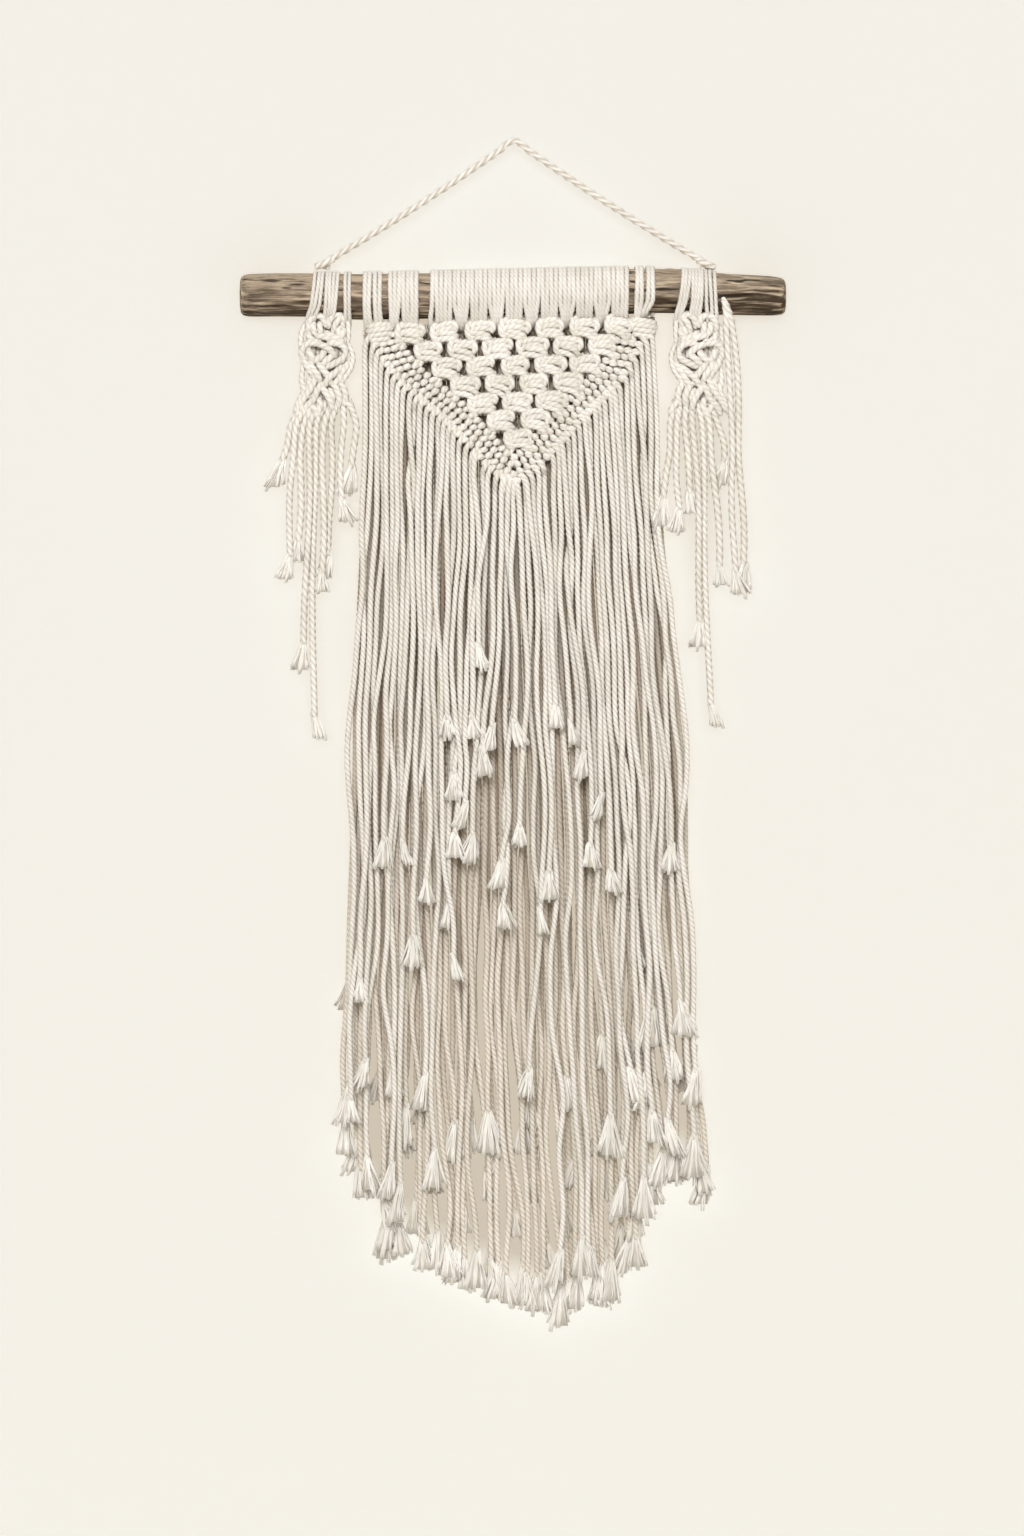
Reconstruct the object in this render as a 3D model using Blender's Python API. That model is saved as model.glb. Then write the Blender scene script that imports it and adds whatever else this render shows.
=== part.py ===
"""Macrame wall hanging: cotton cord knotted onto a weathered wooden branch.

Run with: blender --background --python part.py

Frame: metres, +Z up, the wall behind at +Y, the room in front at -Y. The origin is the
point where the hanger cord bends over its hook. Each piece is one closed solid: the
branch, the hanger cord and its two end knots, the V-shaped net with the lark's head rows
that hold it on the branch, two layers of fringe, and a short braid with its own fringe on
either side.
"""

import math
from functools import partial

import bmesh
import bpy
from mathutils import Matrix, Vector

MM = 0.001

# --- Driving dimensions, in millimetres -------------------------------------------------
GAP = 0.35  # clearance between pieces that touch

# Branch: x along it, height of its centre, radius.
BRANCH = (
    (-204.6, -113.4, 13.8),
    (-202.0, -113.4, 16.0),
    (-180.0, -113.2, 16.5),
    (-148.0, -113.6, 16.7),
    (-112.0, -114.6, 17.1),
    (-66.0, -113.9, 17.3),
    (-20.0, -112.2, 16.7),
    (40.0, -110.9, 16.7),
    (90.0, -110.2, 16.9),
    (118.0, -110.4, 16.7),
    (158.0, -112.4, 15.6),
    (186.0, -113.8, 14.9),
    (200.0, -114.4, 14.5),
    (203.0, -114.5, 12.4),
)

# Rows of lark's head knots round the branch: first and last x.
HEADING_RISE = 3.5  # how far the cord stands out from the branch
HEADING_GROOVE = 1.3
HEADING_PITCH = 8.7
PANEL_HEADINGS = ((-114.0, -68.0), (-64.5, 86.0), (89.5, 105.5))

# Net of alternating square knots, one knot fewer in each row down.
NET_ROWS = 7
NET_X = 0.3  # middle of the top row
NET_Z = -140.2
NET_Y = -4.0
KNOT_PITCH = 26.0
ROW_PITCH = 13.6
ROW_SHIFT = 0.5  # each row's middle lies a little further right
NET_SLOPE = 0.033  # the net hangs a little lower on the left
KNOT_SIZE = (22.5, 15.0, 9.6)  # width, height, depth
KNOT_RIDGE = 0.07  # share of its size by which a knot's cords stand out
BUNDLE_SIZE = (12.6, 5.4)  # four cords side by side from knot to knot: width, depth
NECK_LENGTH = 12.0  # from the middle of a top knot up into the heading
BUNDLE_END = 0.65  # rows from the last knot to where its bundle meets the border
BUNDLE_STEP = 0.55  # the crossing bundles lie this far in front of or behind the net's middle

# Border of half hitches: x and height down the middle of its outer row.
BORDER = (
    (-114.5, -141.0),
    (-106.0, -149.5),
    (-86.5, -178.5),
    (-51.0, -207.5),
    (-17.0, -245.0),
    (-0.5, -255.0),
    (14.5, -246.5),
    (52.0, -205.5),
    (79.5, -179.0),
    (95.5, -149.0),
    (106.0, -140.5),
)
INNER_ROWS = ((8.6, 5.0), (16.6, 5.0))  # distance in from the outer row, radius
INNER_LEAN = 5.0  # how far outwards they lean on the way up there
INNER_TOP = -128.5  # height at which the inner rows end, inside the headings
OUTER_ROW_RADIUS = 4.0
HITCH_PITCH = 12.0
HITCH_GROOVE = 0.9

# Fringe: height, left edge and right edge of the hanging strands.
FALL = (
    (-146.0, -113.5, 105.5),
    (-255.0, -114.0, 110.5),
    (-342.0, -117.5, 117.0),
    (-417.0, -121.5, 125.0),
    (-477.0, -123.0, 130.5),
    (-597.0, -125.5, 133.5),
    (-664.0, -128.5, 137.0),
    (-717.0, -129.5, 143.0),
    (-900.0, -124.0, 149.0),
)
STRAND_RADIUS = 2.0
SEGMENT = 120.0  # longest straight stretch of a strand
SWAY = 1.1  # sideways wander of a strand
SWAY_LENGTH = 210.0
FRONT_PHASE, BACK_PHASE, BRAID_PHASE = 9.0, 7.0, 0.4  # how the sway shifts across a layer
ROOT_ROUNDS = 4  # rounds of working out where a strand meets the border
ROOT_DROP = 14.0  # a strand reaches its own plane this far under its root
TUFT = 15.0  # length of a frayed end
TUFT_FLARE = 1.5

FRONT_STRANDS = 54
FRONT_PLANES = (-6.4, -1.9)  # y of the strands, taken in turn
TUFTS = (  # x and height of the front strands' clear ends; the nearest strand takes each
    (-122.0, -734.0),
    (-115.5, -646.0),
    (-110.0, -706.0),
    (-96.8, -540.0),
    (-81.0, -541.5),
    (-73.5, -614.0),
    (-66.8, -571.5),
    (-49.5, -449.0),
    (-48.0, -587.0),
    (-46.5, -537.0),
    (-45.0, -490.0),
    (-42.0, -513.0),
    (-45.0, -627.0),
    (-32.3, -449.0),
    (-32.3, -537.0),
    (-27.8, -395.0),
    (-24.8, -471.0),
    (-18.0, -455.0),
    (-12.0, -590.0),
    (-9.8, -556.0),
    (-2.3, -452.0),
    (3.8, -529.5),
    (10.5, -712.5),
    (21.8, -593.0),
    (25.5, -564.0),
    (30.8, -441.0),
    (42.0, -452.0),
    (51.8, -475.5),
    (56.3, -544.5),
    (67.5, -507.0),
    (73.5, -564.0),
    (117.8, -544.5),
)
FRONT_HIGHER = 22.0  # the other front strands end this far above the hem, or twice or more
FRONT_STEPS = (1.0, 3.4, 1.6, 5.2)
BACK_STRANDS = 46
BACK_PLANES = (3.9, 8.4)
HEM = (  # share of the width from the left, height of the hem, spread
    (0.00, -738.0, 4.0),
    (0.05, -788.0, 4.0),
    (0.12, -826.0, 6.0),
    (0.30, -853.0, 8.0),
    (0.48, -873.0, 5.0),
    (0.60, -878.0, 4.0),
    (0.72, -866.0, 6.0),
    (0.80, -838.0, 8.0),
    (0.86, -784.0, 6.0),
    (0.93, -775.0, 4.0),
    (1.00, -797.0, 2.0),
)
SHORT_EVERY = 5  # every so many back strands one ends higher up
SHORT_BY = 95.0
HEADER = (4.7, -137.9, 3.0)  # y, height at the middle and radius of the row that holds them

# Side braids: middle x, heading, knots and strands, all from the braid's middle.
BRAIDS = {
    "left": {
        "x": -140.0,
        "heading": (-11.5, 18.5),
        "knots": (  # x, height of its middle, width, height
            (-8.6, -141.5, 18.4, 22.0),
            (8.6, -141.5, 18.4, 22.0),
            (0.0, -160.0, 37.0, 21.0),
            (0.0, -179.0, 33.0, 23.0),
        ),
        "strands": (  # x of its root, x of its end, height of its end
            (-16.0, -32.5, -256.0),
            (-12.0, -28.5, -327.0),
            (-8.0, -22.0, -316.0),
            (-4.0, -16.0, -393.0),
            (0.0, -10.5, -447.0),
            (4.0, -4.0, -340.0),
            (8.0, 2.0, -326.0),
            (12.0, 10.5, -286.0),
            (16.0, 17.5, -261.0),
        ),
    },
    "right": {
        "x": 137.0,
        "heading": (-12.5, 16.0),
        "knots": (
            (-8.6, -141.0, 18.4, 22.0),
            (8.6, -141.0, 18.4, 22.0),
            (0.0, -160.0, 38.0, 21.0),
            (0.0, -180.5, 35.0, 25.0),
        ),
        "strands": (
            (-16.0, -24.0, -284.0),
            (-12.0, -14.0, -292.0),
            (-8.0, -5.5, -280.0),
            (-4.0, 3.5, -376.0),
            (0.0, 9.5, -438.0),
            (4.0, 16.5, -335.0),
            (8.0, 22.0, -256.0),
            (12.0, 28.0, -340.0),
            (16.0, 34.5, -334.0),
        ),
    },
}
BRAID_Y = -3.6
BRAID_DEPTH = 10.4
BRAID_BAR_RADIUS = 3.4
BRAID_PLANES = (-11.2, -6.6)

# Hanger: x and height of its ends in their knots, and its sag on each side.
HANGER_RADIUS = 2.6
HANGER_LEFT = (-142.5, -89.4)
HANGER_RIGHT = (144.5, -89.8)
HANGER_SAG = 2.2
HANGER_STEPS = 12
END_KNOT = (12.5, 9.4, 9.6)  # width, height, depth

COTTON_COLOUR = (0.80, 0.75, 0.66, 1.0)
HANGER_COLOUR = (0.78, 0.73, 0.64, 1.0)
WOOD_COLOUR = (0.20, 0.14, 0.09, 1.0)

GOLDEN = 0.6180339887


def between(table, key, column):
    """Reads a column of a table at a key, in straight lines between its rows."""
    falling = table[-1][0] < table[0][0]
    for before, after in zip(table, table[1:]):
        if (key > after[0]) if falling else (key < after[0]):
            share = (key - before[0]) / (after[0] - before[0])
            return before[column] + max(share, 0.0) * (after[column] - before[column])
    return table[-1][column]


def uneven(index, salt=0.0):
    """A fixed value from -1 to 1 that looks uneven from one index to the next."""
    return 2 * ((index * GOLDEN + salt) % 1.0) - 1


# --- Shop: collections, materials and the ways that shapes are made ---------------------


def new_material(name, colour, roughness):
    material = bpy.data.materials.new(name)
    material.use_nodes = True
    shader = material.node_tree.nodes["Principled BSDF"]
    shader.inputs["Base Color"].default_value = colour
    shader.inputs["Roughness"].default_value = roughness
    shader.inputs["Metallic"].default_value = 0.0
    return material


def new_collection(name, parent):
    collection = bpy.data.collections.new(name)
    parent.children.link(collection)
    return collection


class Shop:
    """The collections and materials that the pieces share."""

    def __init__(self):
        for obj in list(bpy.data.objects):
            bpy.data.objects.remove(obj)
        self.parts = new_collection("macrame_wall_hanging", bpy.context.scene.collection)
        self.helpers = new_collection("helpers", bpy.context.scene.collection)

    def part(self, name, mesh, colour, roughness):
        obj = bpy.data.objects.new(name, mesh)
        self.parts.objects.link(obj)
        obj.data.materials.append(new_material(name + "_material", colour, roughness))
        obj.data.shade_smooth()
        obj.data.set_sharp_from_angle(angle=math.radians(40))
        return obj

    def helper(self, name, mesh, group=None):
        """An object that a Boolean reads: it is kept out of the render."""
        obj = bpy.data.objects.new(name, mesh)
        (group or self.helpers).objects.link(obj)
        obj.hide_render = True
        obj.display_type = "WIRE"
        return obj

    def fused(self, name, meshes):
        """A cotton solid joined from overlapping meshes."""
        obj = self.part(name, meshes[0], COTTON_COLOUR, 0.9)
        group = new_collection(name + "_pieces", self.helpers)
        for index, mesh in enumerate(meshes[1:]):
            self.helper(f"{name}_piece_{index}", mesh, group)
        union = obj.modifiers.new("fuse", "BOOLEAN")
        union.operation = "UNION"
        union.operand_type = "COLLECTION"
        union.collection = group
        return obj


def cut(obj, cutter):
    """Cuts a helper's shape out of an object."""
    difference = obj.modifiers.new("cut_" + cutter.name, "BOOLEAN")
    difference.operation = "DIFFERENCE"
    difference.object = cutter


def bar_mesh(name, run, resolution):
    """A round bar along a run of (x, y, z, radius), in millimetres, with its ends closed."""
    curve = bpy.data.curves.new(name, "CURVE")
    curve.dimensions = "3D"
    curve.use_fill_caps = True
    curve.bevel_depth = MM
    curve.bevel_resolution = resolution
    spline = curve.splines.new("POLY")
    spline.points.add(len(run) - 1)
    for point, (x, y, z, radius) in zip(spline.points, run):
        point.co = (x * MM, y * MM, z * MM, 1.0)
        point.radius = radius
    obj = bpy.data.objects.new(name, curve)
    bpy.context.scene.collection.objects.link(obj)
    graph = bpy.context.evaluated_depsgraph_get()
    mesh = bpy.data.meshes.new_from_object(obj.evaluated_get(graph))
    bpy.data.objects.remove(obj)
    bpy.data.curves.remove(curve)
    shape = bmesh.new()
    shape.from_mesh(mesh)
    bmesh.ops.remove_doubles(shape, verts=shape.verts, dist=0.00001)
    bmesh.ops.recalc_face_normals(shape, faces=shape.faces)
    shape.to_mesh(mesh)
    shape.free()
    return mesh


def ridged(points, pitch, radius, groove):
    """Adds crests a pitch apart, and the grooves between them, along a line of (x, y, z)."""
    points = [Vector(point) for point in points]
    lengths = [(b - a).length for a, b in zip(points, points[1:])]
    steps = 2 * round(sum(lengths) / pitch)
    run = []
    for step in range(steps + 1):
        left = sum(lengths) * step / steps
        index = 0
        while index < len(lengths) - 1 and left > lengths[index]:
            left -= lengths[index]
            index += 1
        spot = points[index].lerp(points[index + 1], left / lengths[index])
        run.append((*spot, radius if step % 2 else radius - groove))
    return run


def lump_mesh(name, centre, size):
    """A knot: a ball of three sizes, with the ridges of the cords that cross it."""
    shape = bmesh.new()
    turn = Matrix.Rotation(math.radians(90), 4, "Y")
    bmesh.ops.create_uvsphere(shape, u_segments=8, v_segments=4, radius=0.5, matrix=turn)
    for vert in shape.verts:
        ridge = 1.0 + KNOT_RIDGE * math.cos(4 * math.atan2(vert.co.z, vert.co.y))
        vert.co.x = (vert.co.x * size[0] + centre[0]) * MM
        vert.co.y = (vert.co.y * size[2] * ridge + centre[1]) * MM
        vert.co.z = (vert.co.z * size[1] * ridge + centre[2]) * MM
    bmesh.ops.recalc_face_normals(shape, faces=shape.faces)
    mesh = bpy.data.meshes.new(name)
    shape.to_mesh(mesh)
    shape.free()
    return mesh


def bundle_mesh(name, start, end):
    """Cords side by side in one flat bundle from one place on the net to another."""
    start, end = Vector(start) * MM, Vector(end) * MM
    along = end - start
    width, depth = BUNDLE_SIZE
    across = along.cross(Vector((0, 1, 0))).normalized() * width * MM / math.sqrt(3)
    through = Vector((0, depth * MM / 2, 0))
    shape = bmesh.new()
    bmesh.ops.create_cone(shape, cap_ends=True, segments=6, radius1=1, radius2=1, depth=1)
    for vert in shape.verts:
        x, y, z = vert.co
        vert.co = (start + end) / 2 + across * y + through * x + along * z
    bmesh.ops.recalc_face_normals(shape, faces=shape.faces)
    mesh = bpy.data.meshes.new(name)
    shape.to_mesh(mesh)
    shape.free()
    return mesh


# --- Branch and headings ----------------------------------------------------------------


def branch_run(extra):
    return [(x, 0.0, z, radius + extra) for x, z, radius in BRANCH]


def heading_run(first, last, extra=0.0):
    """Ridged profile of lark's head knots side by side round the branch."""
    steps = 2 * max(round((last - first) / HEADING_PITCH), 1)
    run = []
    for step in range(steps + 1):
        x = first + (last - first) * step / steps
        rise = HEADING_RISE if step % 2 else HEADING_RISE - HEADING_GROOVE
        run.append((x, 0.0, between(BRANCH, x, 1), between(BRANCH, x, 2) + rise + extra))
    return run


def make_branch(shop):
    shop.part("branch", bar_mesh("branch", branch_run(0.0), 4), WOOD_COLOUR, 0.75)
    return shop.helper("branch_clearance", bar_mesh("branch_clearance", branch_run(GAP), 4))


# --- Net --------------------------------------------------------------------------------


def knot_place(row, index):
    """Middle of a square knot. Both numbers may be fractions, or lie past the net's edge."""
    count = NET_ROWS - row
    x = NET_X + ROW_SHIFT * row + KNOT_PITCH * (index - (count - 1) / 2)
    return (x, NET_Z - ROW_PITCH * row + NET_SLOPE * x)


def inner_row(distance):
    """The border's outer line moved up into the net, mitred, with its ends run up its sides."""
    points = [Vector(point) for point in BORDER[1:-1]]
    ways = [(b - a).normalized() for a, b in zip(points, points[1:])]
    moved = []
    for point, way_in, way_out in zip(points, ways[:1] + ways, ways + ways[-1:]):
        ahead = (way_in + way_out).normalized()
        moved.append(point + Vector((-ahead.y, ahead.x)) * (distance / ahead.dot(way_in)))
    left = (moved[0].x - INNER_LEAN, INNER_TOP)
    right = (moved[-1].x + INNER_LEAN, INNER_TOP)
    return [(x, NET_Y, z) for x, z in (left, *moved, right)]


def net_bundles():
    """Flat bundles that run down through the knots to the border: which way, start, end."""
    bundles = []
    for index in range(NET_ROWS):
        other = NET_ROWS - 1 - index
        rows = other + BUNDLE_END
        bundles.append((-1, knot_place(0, index), knot_place(rows, index)))
        bundles.append((1, knot_place(0, other), knot_place(rows, -BUNDLE_END)))
    return bundles


def make_panel(shop, clearance):
    meshes = [bar_mesh("panel_heading", heading_run(*ends), 4) for ends in PANEL_HEADINGS]
    for row in range(NET_ROWS):
        for index in range(NET_ROWS - row):
            x, z = knot_place(row, index)
            meshes.append(lump_mesh("square_knot", (x, NET_Y, z), KNOT_SIZE))
    for side, (start_x, start_z), (end_x, end_z) in net_bundles():
        y = NET_Y + side * BUNDLE_STEP
        meshes.append(bundle_mesh("bundle", (start_x, y, start_z), (end_x, y, end_z)))
    for index in range(NET_ROWS):
        x, z = knot_place(0, index)
        meshes.append(bundle_mesh("neck", (x, NET_Y, z), (x, NET_Y, z + NECK_LENGTH)))
    for distance, radius in INNER_ROWS:
        run = ridged(inner_row(distance), HITCH_PITCH, radius, HITCH_GROOVE)
        meshes.append(bar_mesh("half_hitches", run, 1))
    panel = shop.fused("knotted_panel", meshes)
    cut(panel, clearance)


# --- Fringe -----------------------------------------------------------------------------


def fall_x(share, z):
    """Sideways place of a strand at a height."""
    left, right = between(FALL, z, 1), between(FALL, z, 2)
    return left + share * (right - left)


def lean(root, end, z):
    """Sideways place, at a height, on the straight line from a root to a strand's (x, z) end."""
    return root[0] + (end[0] - root[0]) * (root[2] - z) / (root[2] - end[1])


def strand_run(root, end, plane, phase, path):
    """A strand from its root down to its frayed end, as (x, y, z, radius)."""
    fall = root[2] - end
    knee = root[2] - ROOT_DROP
    count = max(math.ceil((fall - ROOT_DROP - TUFT) / SEGMENT), 1)
    run = [(*root, STRAND_RADIUS)]
    for step in range(count + 1):
        z = knee + (end + TUFT - knee) * step / count
        sway = SWAY * math.sin(2 * math.pi * z / SWAY_LENGTH + phase) * min(1.0, step)
        run.append((path(z) + sway, plane, z, STRAND_RADIUS))
    x, y, _, _ = run[-1]
    run.append((x, y, end + TUFT * 0.3, STRAND_RADIUS * TUFT_FLARE))
    run.append((x, y, end, STRAND_RADIUS * 0.9))
    return run


def strand_mesh(run):
    """A three-sided strand, its ridge to the front and its flat side to the wall."""
    shape = bmesh.new()
    rings = []
    for x, y, z, radius in run:
        ring = []
        for corner in range(3):
            angle = math.radians(-90 + 120 * corner)
            spot = (x + radius * math.cos(angle), y + radius * math.sin(angle), z)
            ring.append(shape.verts.new(Vector(spot) * MM))
        rings.append(ring)
    for upper, lower in zip(rings, rings[1:]):
        for corner in range(3):
            after = (corner + 1) % 3
            shape.faces.new((upper[corner], upper[after], lower[after], lower[corner]))
    shape.faces.new(rings[0])
    shape.faces.new(rings[-1][::-1])
    bmesh.ops.recalc_face_normals(shape, faces=shape.faces)
    mesh = bpy.data.meshes.new("strand")
    shape.to_mesh(mesh)
    shape.free()
    return mesh


def hem_end(index, share):
    return between(HEM, share, 1) + between(HEM, share, 2) * uneven(index)


def front_ends():
    """Height at which each front strand ends: at its tuft, or some way above the hem."""
    shares = [(index + 0.5) / FRONT_STRANDS for index in range(FRONT_STRANDS)]
    ends = {}
    for x, height in TUFTS:
        free = [index for index in range(FRONT_STRANDS) if index not in ends]
        ends[min(free, key=lambda index: abs(fall_x(shares[index], height) - x))] = height
    for index, share in enumerate(shares):
        rise = FRONT_HIGHER * FRONT_STEPS[index % len(FRONT_STEPS)]
        ends.setdefault(index, hem_end(index, share) + rise)
    return ends


def make_front_fringe(shop):
    line = [(x, NET_Y, z) for x, z in BORDER]
    run = ridged(line, HITCH_PITCH, OUTER_ROW_RADIUS, HITCH_GROOVE)
    meshes = [bar_mesh("outer_row", run, 1)]
    for index, end in sorted(front_ends().items()):
        share = (index + 0.5) / FRONT_STRANDS
        height = BORDER[0][1]
        for _ in range(ROOT_ROUNDS):
            height = between(BORDER, fall_x(share, height), 1)
        root = (fall_x(share, height), NET_Y, height)
        plane = FRONT_PLANES[index % 2]
        run = strand_run(root, end, plane, FRONT_PHASE * share, partial(fall_x, share))
        meshes.append(strand_mesh(run))
    shop.fused("front_fringe", meshes)


def make_back_fringe(shop):
    y, height, radius = HEADER
    left, right = FALL[0][1:]
    line = [(x, y, height + NET_SLOPE * x) for x in (left, right)]
    meshes = [bar_mesh("header_row", [(*point, radius) for point in line], 2)]
    for index in range(BACK_STRANDS):
        share = (index + 0.5) / BACK_STRANDS
        x = fall_x(share, height)
        root = (x, y, height + NET_SLOPE * x)
        end = hem_end(index, share)
        if index % SHORT_EVERY == 3:
            end += SHORT_BY * (1.4 + uneven(index, 0.3))
        plane = BACK_PLANES[index % 2]
        run = strand_run(root, end, plane, BACK_PHASE * share, partial(fall_x, share))
        meshes.append(strand_mesh(run))
    shop.fused("back_fringe", meshes)


# --- Side braids ------------------------------------------------------------------------


def make_braid(shop, side, braid, clearance):
    middle = braid["x"]
    first, last = braid["heading"]
    meshes = [bar_mesh("braid_heading", heading_run(middle + first, middle + last), 4)]
    for x, z, width, height in braid["knots"]:
        size = (width, height, BRAID_DEPTH)
        meshes.append(lump_mesh("braid_knot", (middle + x, BRAID_Y, z), size))
    cut(shop.fused(side + "_braid", meshes), clearance)


def make_braid_fringe(shop, side, braid):
    middle = braid["x"]
    _, lowest, _, height = braid["knots"][-1]
    bar = lowest - height / 2 * (1 + KNOT_RIDGE) - GAP - BRAID_BAR_RADIUS
    roots = [row[0] for row in braid["strands"]]
    ends = (middle + roots[0] - 2.2, middle + roots[-1] + 2.2)
    bar_line = [(x, BRAID_Y, bar, BRAID_BAR_RADIUS) for x in ends]
    meshes = [bar_mesh("strand_bar", bar_line, 2)]
    for index, (root_x, end_x, end) in enumerate(braid["strands"]):
        root = (middle + root_x, BRAID_Y, bar)
        path = partial(lean, root, (middle + end_x, end))
        run = strand_run(root, end, BRAID_PLANES[index % 2], BRAID_PHASE * index, path)
        meshes.append(strand_mesh(run))
    shop.fused(side + "_fringe", meshes)


# --- Hanger -----------------------------------------------------------------------------


def hanger_run(extra=0.0):
    """The taut cord from the left knot up over the hook and down to the right knot."""
    run = []
    for end_x, end_z in (HANGER_LEFT, HANGER_RIGHT):
        side = []
        for step in range(HANGER_STEPS):
            share = step / HANGER_STEPS
            sag = HANGER_SAG * math.sin(math.pi * share)
            height = end_z * (1 - share) - sag + HANGER_RADIUS * share
            side.append((end_x * (1 - share), 0.0, height, HANGER_RADIUS + extra))
        run.append(side)
    top = (0.0, 0.0, HANGER_RADIUS, HANGER_RADIUS + extra)
    return run[0] + [top] + run[1][::-1]


def make_hanger(shop):
    mesh = bar_mesh("hanger_cord", hanger_run(), 2)
    shop.part("hanger_cord", mesh, HANGER_COLOUR, 0.85)
    cord = shop.helper("cord_clearance", bar_mesh("cord_clearance", hanger_run(GAP), 2))
    for side, (x, z) in (("left", HANGER_LEFT), ("right", HANGER_RIGHT)):
        first, last = BRAIDS[side]["heading"]
        middle = BRAIDS[side]["x"]
        profile = heading_run(middle + first, middle + last, GAP)
        seat = shop.helper(side + "_seat", bar_mesh(side + "_seat", profile, 4))
        mesh = lump_mesh("hanger_knot_" + side, (x, 0.0, z - 1.2), END_KNOT)
        knot = shop.part("hanger_knot_" + side, mesh, HANGER_COLOUR, 0.85)
        cut(knot, cord)
        cut(knot, seat)


def main():
    shop = Shop()
    clearance = make_branch(shop)
    make_panel(shop, clearance)
    make_front_fringe(shop)
    make_back_fringe(shop)
    for side, braid in BRAIDS.items():
        make_braid(shop, side, braid, clearance)
        make_braid_fringe(shop, side, braid)
    make_hanger(shop)


main()
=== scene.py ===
"""Macrame wall hanging: cotton cord knotted onto a weathered branch, dressed over its solids.

Laid out as an add-on and run as a script. Lengths in the tables are millimetres.
"""

import math

import bmesh
import bpy
import numpy as np
from bpy.props import FloatProperty, FloatVectorProperty, PointerProperty
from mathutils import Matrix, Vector, noise


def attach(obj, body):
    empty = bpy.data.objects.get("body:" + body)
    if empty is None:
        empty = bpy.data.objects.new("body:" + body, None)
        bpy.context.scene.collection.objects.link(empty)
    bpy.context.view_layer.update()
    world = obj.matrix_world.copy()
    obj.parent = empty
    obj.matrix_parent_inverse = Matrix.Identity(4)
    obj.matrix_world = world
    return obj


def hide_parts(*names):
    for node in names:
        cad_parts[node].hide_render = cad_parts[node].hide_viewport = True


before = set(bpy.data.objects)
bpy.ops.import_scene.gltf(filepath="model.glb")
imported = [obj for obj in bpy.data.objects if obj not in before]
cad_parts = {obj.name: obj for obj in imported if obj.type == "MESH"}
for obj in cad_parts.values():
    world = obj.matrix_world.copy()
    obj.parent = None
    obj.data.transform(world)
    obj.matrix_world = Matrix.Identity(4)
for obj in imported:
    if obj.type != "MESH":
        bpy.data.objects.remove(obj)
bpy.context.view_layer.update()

bl_info = {
    "name": "Macrame wall hanging",
    "version": (1, 0, 0),
    "blender": (4, 5, 0),
    "location": "3D View > Sidebar > Macrame",
    "description": "Builds a knotted cotton wall hanging on a branch, piece by piece",
    "category": "Object",
}

MM = 0.001
GOLDEN = 0.6180339887

# --- Sizes shared with the solids, in millimetres ---------------------------------------
# The branch's stations: x, height and radius.
BRANCH = np.array(
    (
        (-204.6, -113.4, 13.8), (-202.0, -113.4, 16.0), (-180.0, -113.2, 16.5),
        (-148.0, -113.6, 16.7), (-112.0, -114.6, 17.1), (-66.0, -113.9, 17.3),
        (-20.0, -112.2, 16.7), (40.0, -110.9, 16.7), (90.0, -110.2, 16.9),
        (118.0, -110.4, 16.7), (158.0, -112.4, 15.6), (186.0, -113.8, 14.9),
        (200.0, -114.4, 14.5), (203.0, -114.5, 12.4),
    )
)
# The net: rows of knots, the first row's middle, and the steps from knot to knot.
NET_ROWS = 7
NET_X, NET_Y, NET_Z = 0.3, -4.0, -140.2
KNOT_PITCH, ROW_PITCH = 26.0, 13.6
ROW_SHIFT, NET_SLOPE = 0.5, 0.033
BORDER = (  # the border's outer line: x and height
    (-114.5, -141.0), (-106.0, -149.5), (-86.5, -178.5), (-51.0, -207.5), (-17.0, -245.0),
    (-0.5, -255.0), (14.5, -246.5), (52.0, -205.5), (79.5, -179.0), (95.5, -149.0),
    (106.0, -140.5),
)
TIP = 5  # index of the border's lowest point
# Edges of the fringe on its way down: height, left x and right x.
FALL = np.array(
    (
        (-146.0, -113.5, 105.5), (-255.0, -114.0, 110.5), (-342.0, -117.5, 117.0),
        (-417.0, -121.5, 125.0), (-477.0, -123.0, 130.5), (-597.0, -125.5, 133.5),
        (-664.0, -128.5, 137.0), (-717.0, -129.5, 143.0), (-900.0, -124.0, 149.0),
    )
)
FRONT_STRANDS = 54
FRONT_PLANES = (-6.4, -1.9)
FRONT_SETTLE = 0.62  # how far the two layers of the front fringe close up into one
TUFTS = (  # front strands that end higher up than the hem: x and height
    (-122.0, -734.0), (-115.5, -646.0), (-110.0, -706.0), (-96.8, -540.0), (-81.0, -541.5),
    (-73.5, -614.0), (-66.8, -571.5), (-49.5, -449.0), (-48.0, -587.0), (-46.5, -537.0),
    (-45.0, -490.0), (-42.0, -513.0), (-45.0, -627.0), (-32.3, -449.0), (-32.3, -537.0),
    (-27.8, -395.0), (-24.8, -471.0), (-18.0, -455.0), (-12.0, -590.0), (-9.8, -556.0),
    (-2.3, -452.0), (3.8, -529.5), (10.5, -712.5), (21.8, -593.0), (25.5, -564.0),
    (30.8, -441.0), (42.0, -452.0), (51.8, -475.5), (56.3, -544.5), (67.5, -507.0),
    (73.5, -564.0), (117.8, -544.5),
)
FRONT_HIGHER = 22.0
FRONT_STEPS = (1.0, 3.4, 1.6, 5.2)
# Tufts at the hem and higher up: length, how far the strand reaches into it, and its spread.
HEM_TUFT, HIGH_TUFT = (30.0, 8.0, 0.35), (22.0, 5.0, 0.38)
HIGH_TUFT_Y = -11.5
EYE_Z, EYE_WIDTH = -283.0, 3.0  # small opening under the border's lowest point
BACK_STRANDS = 46
BACK_PLANES = (3.9, 8.4)
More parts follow.
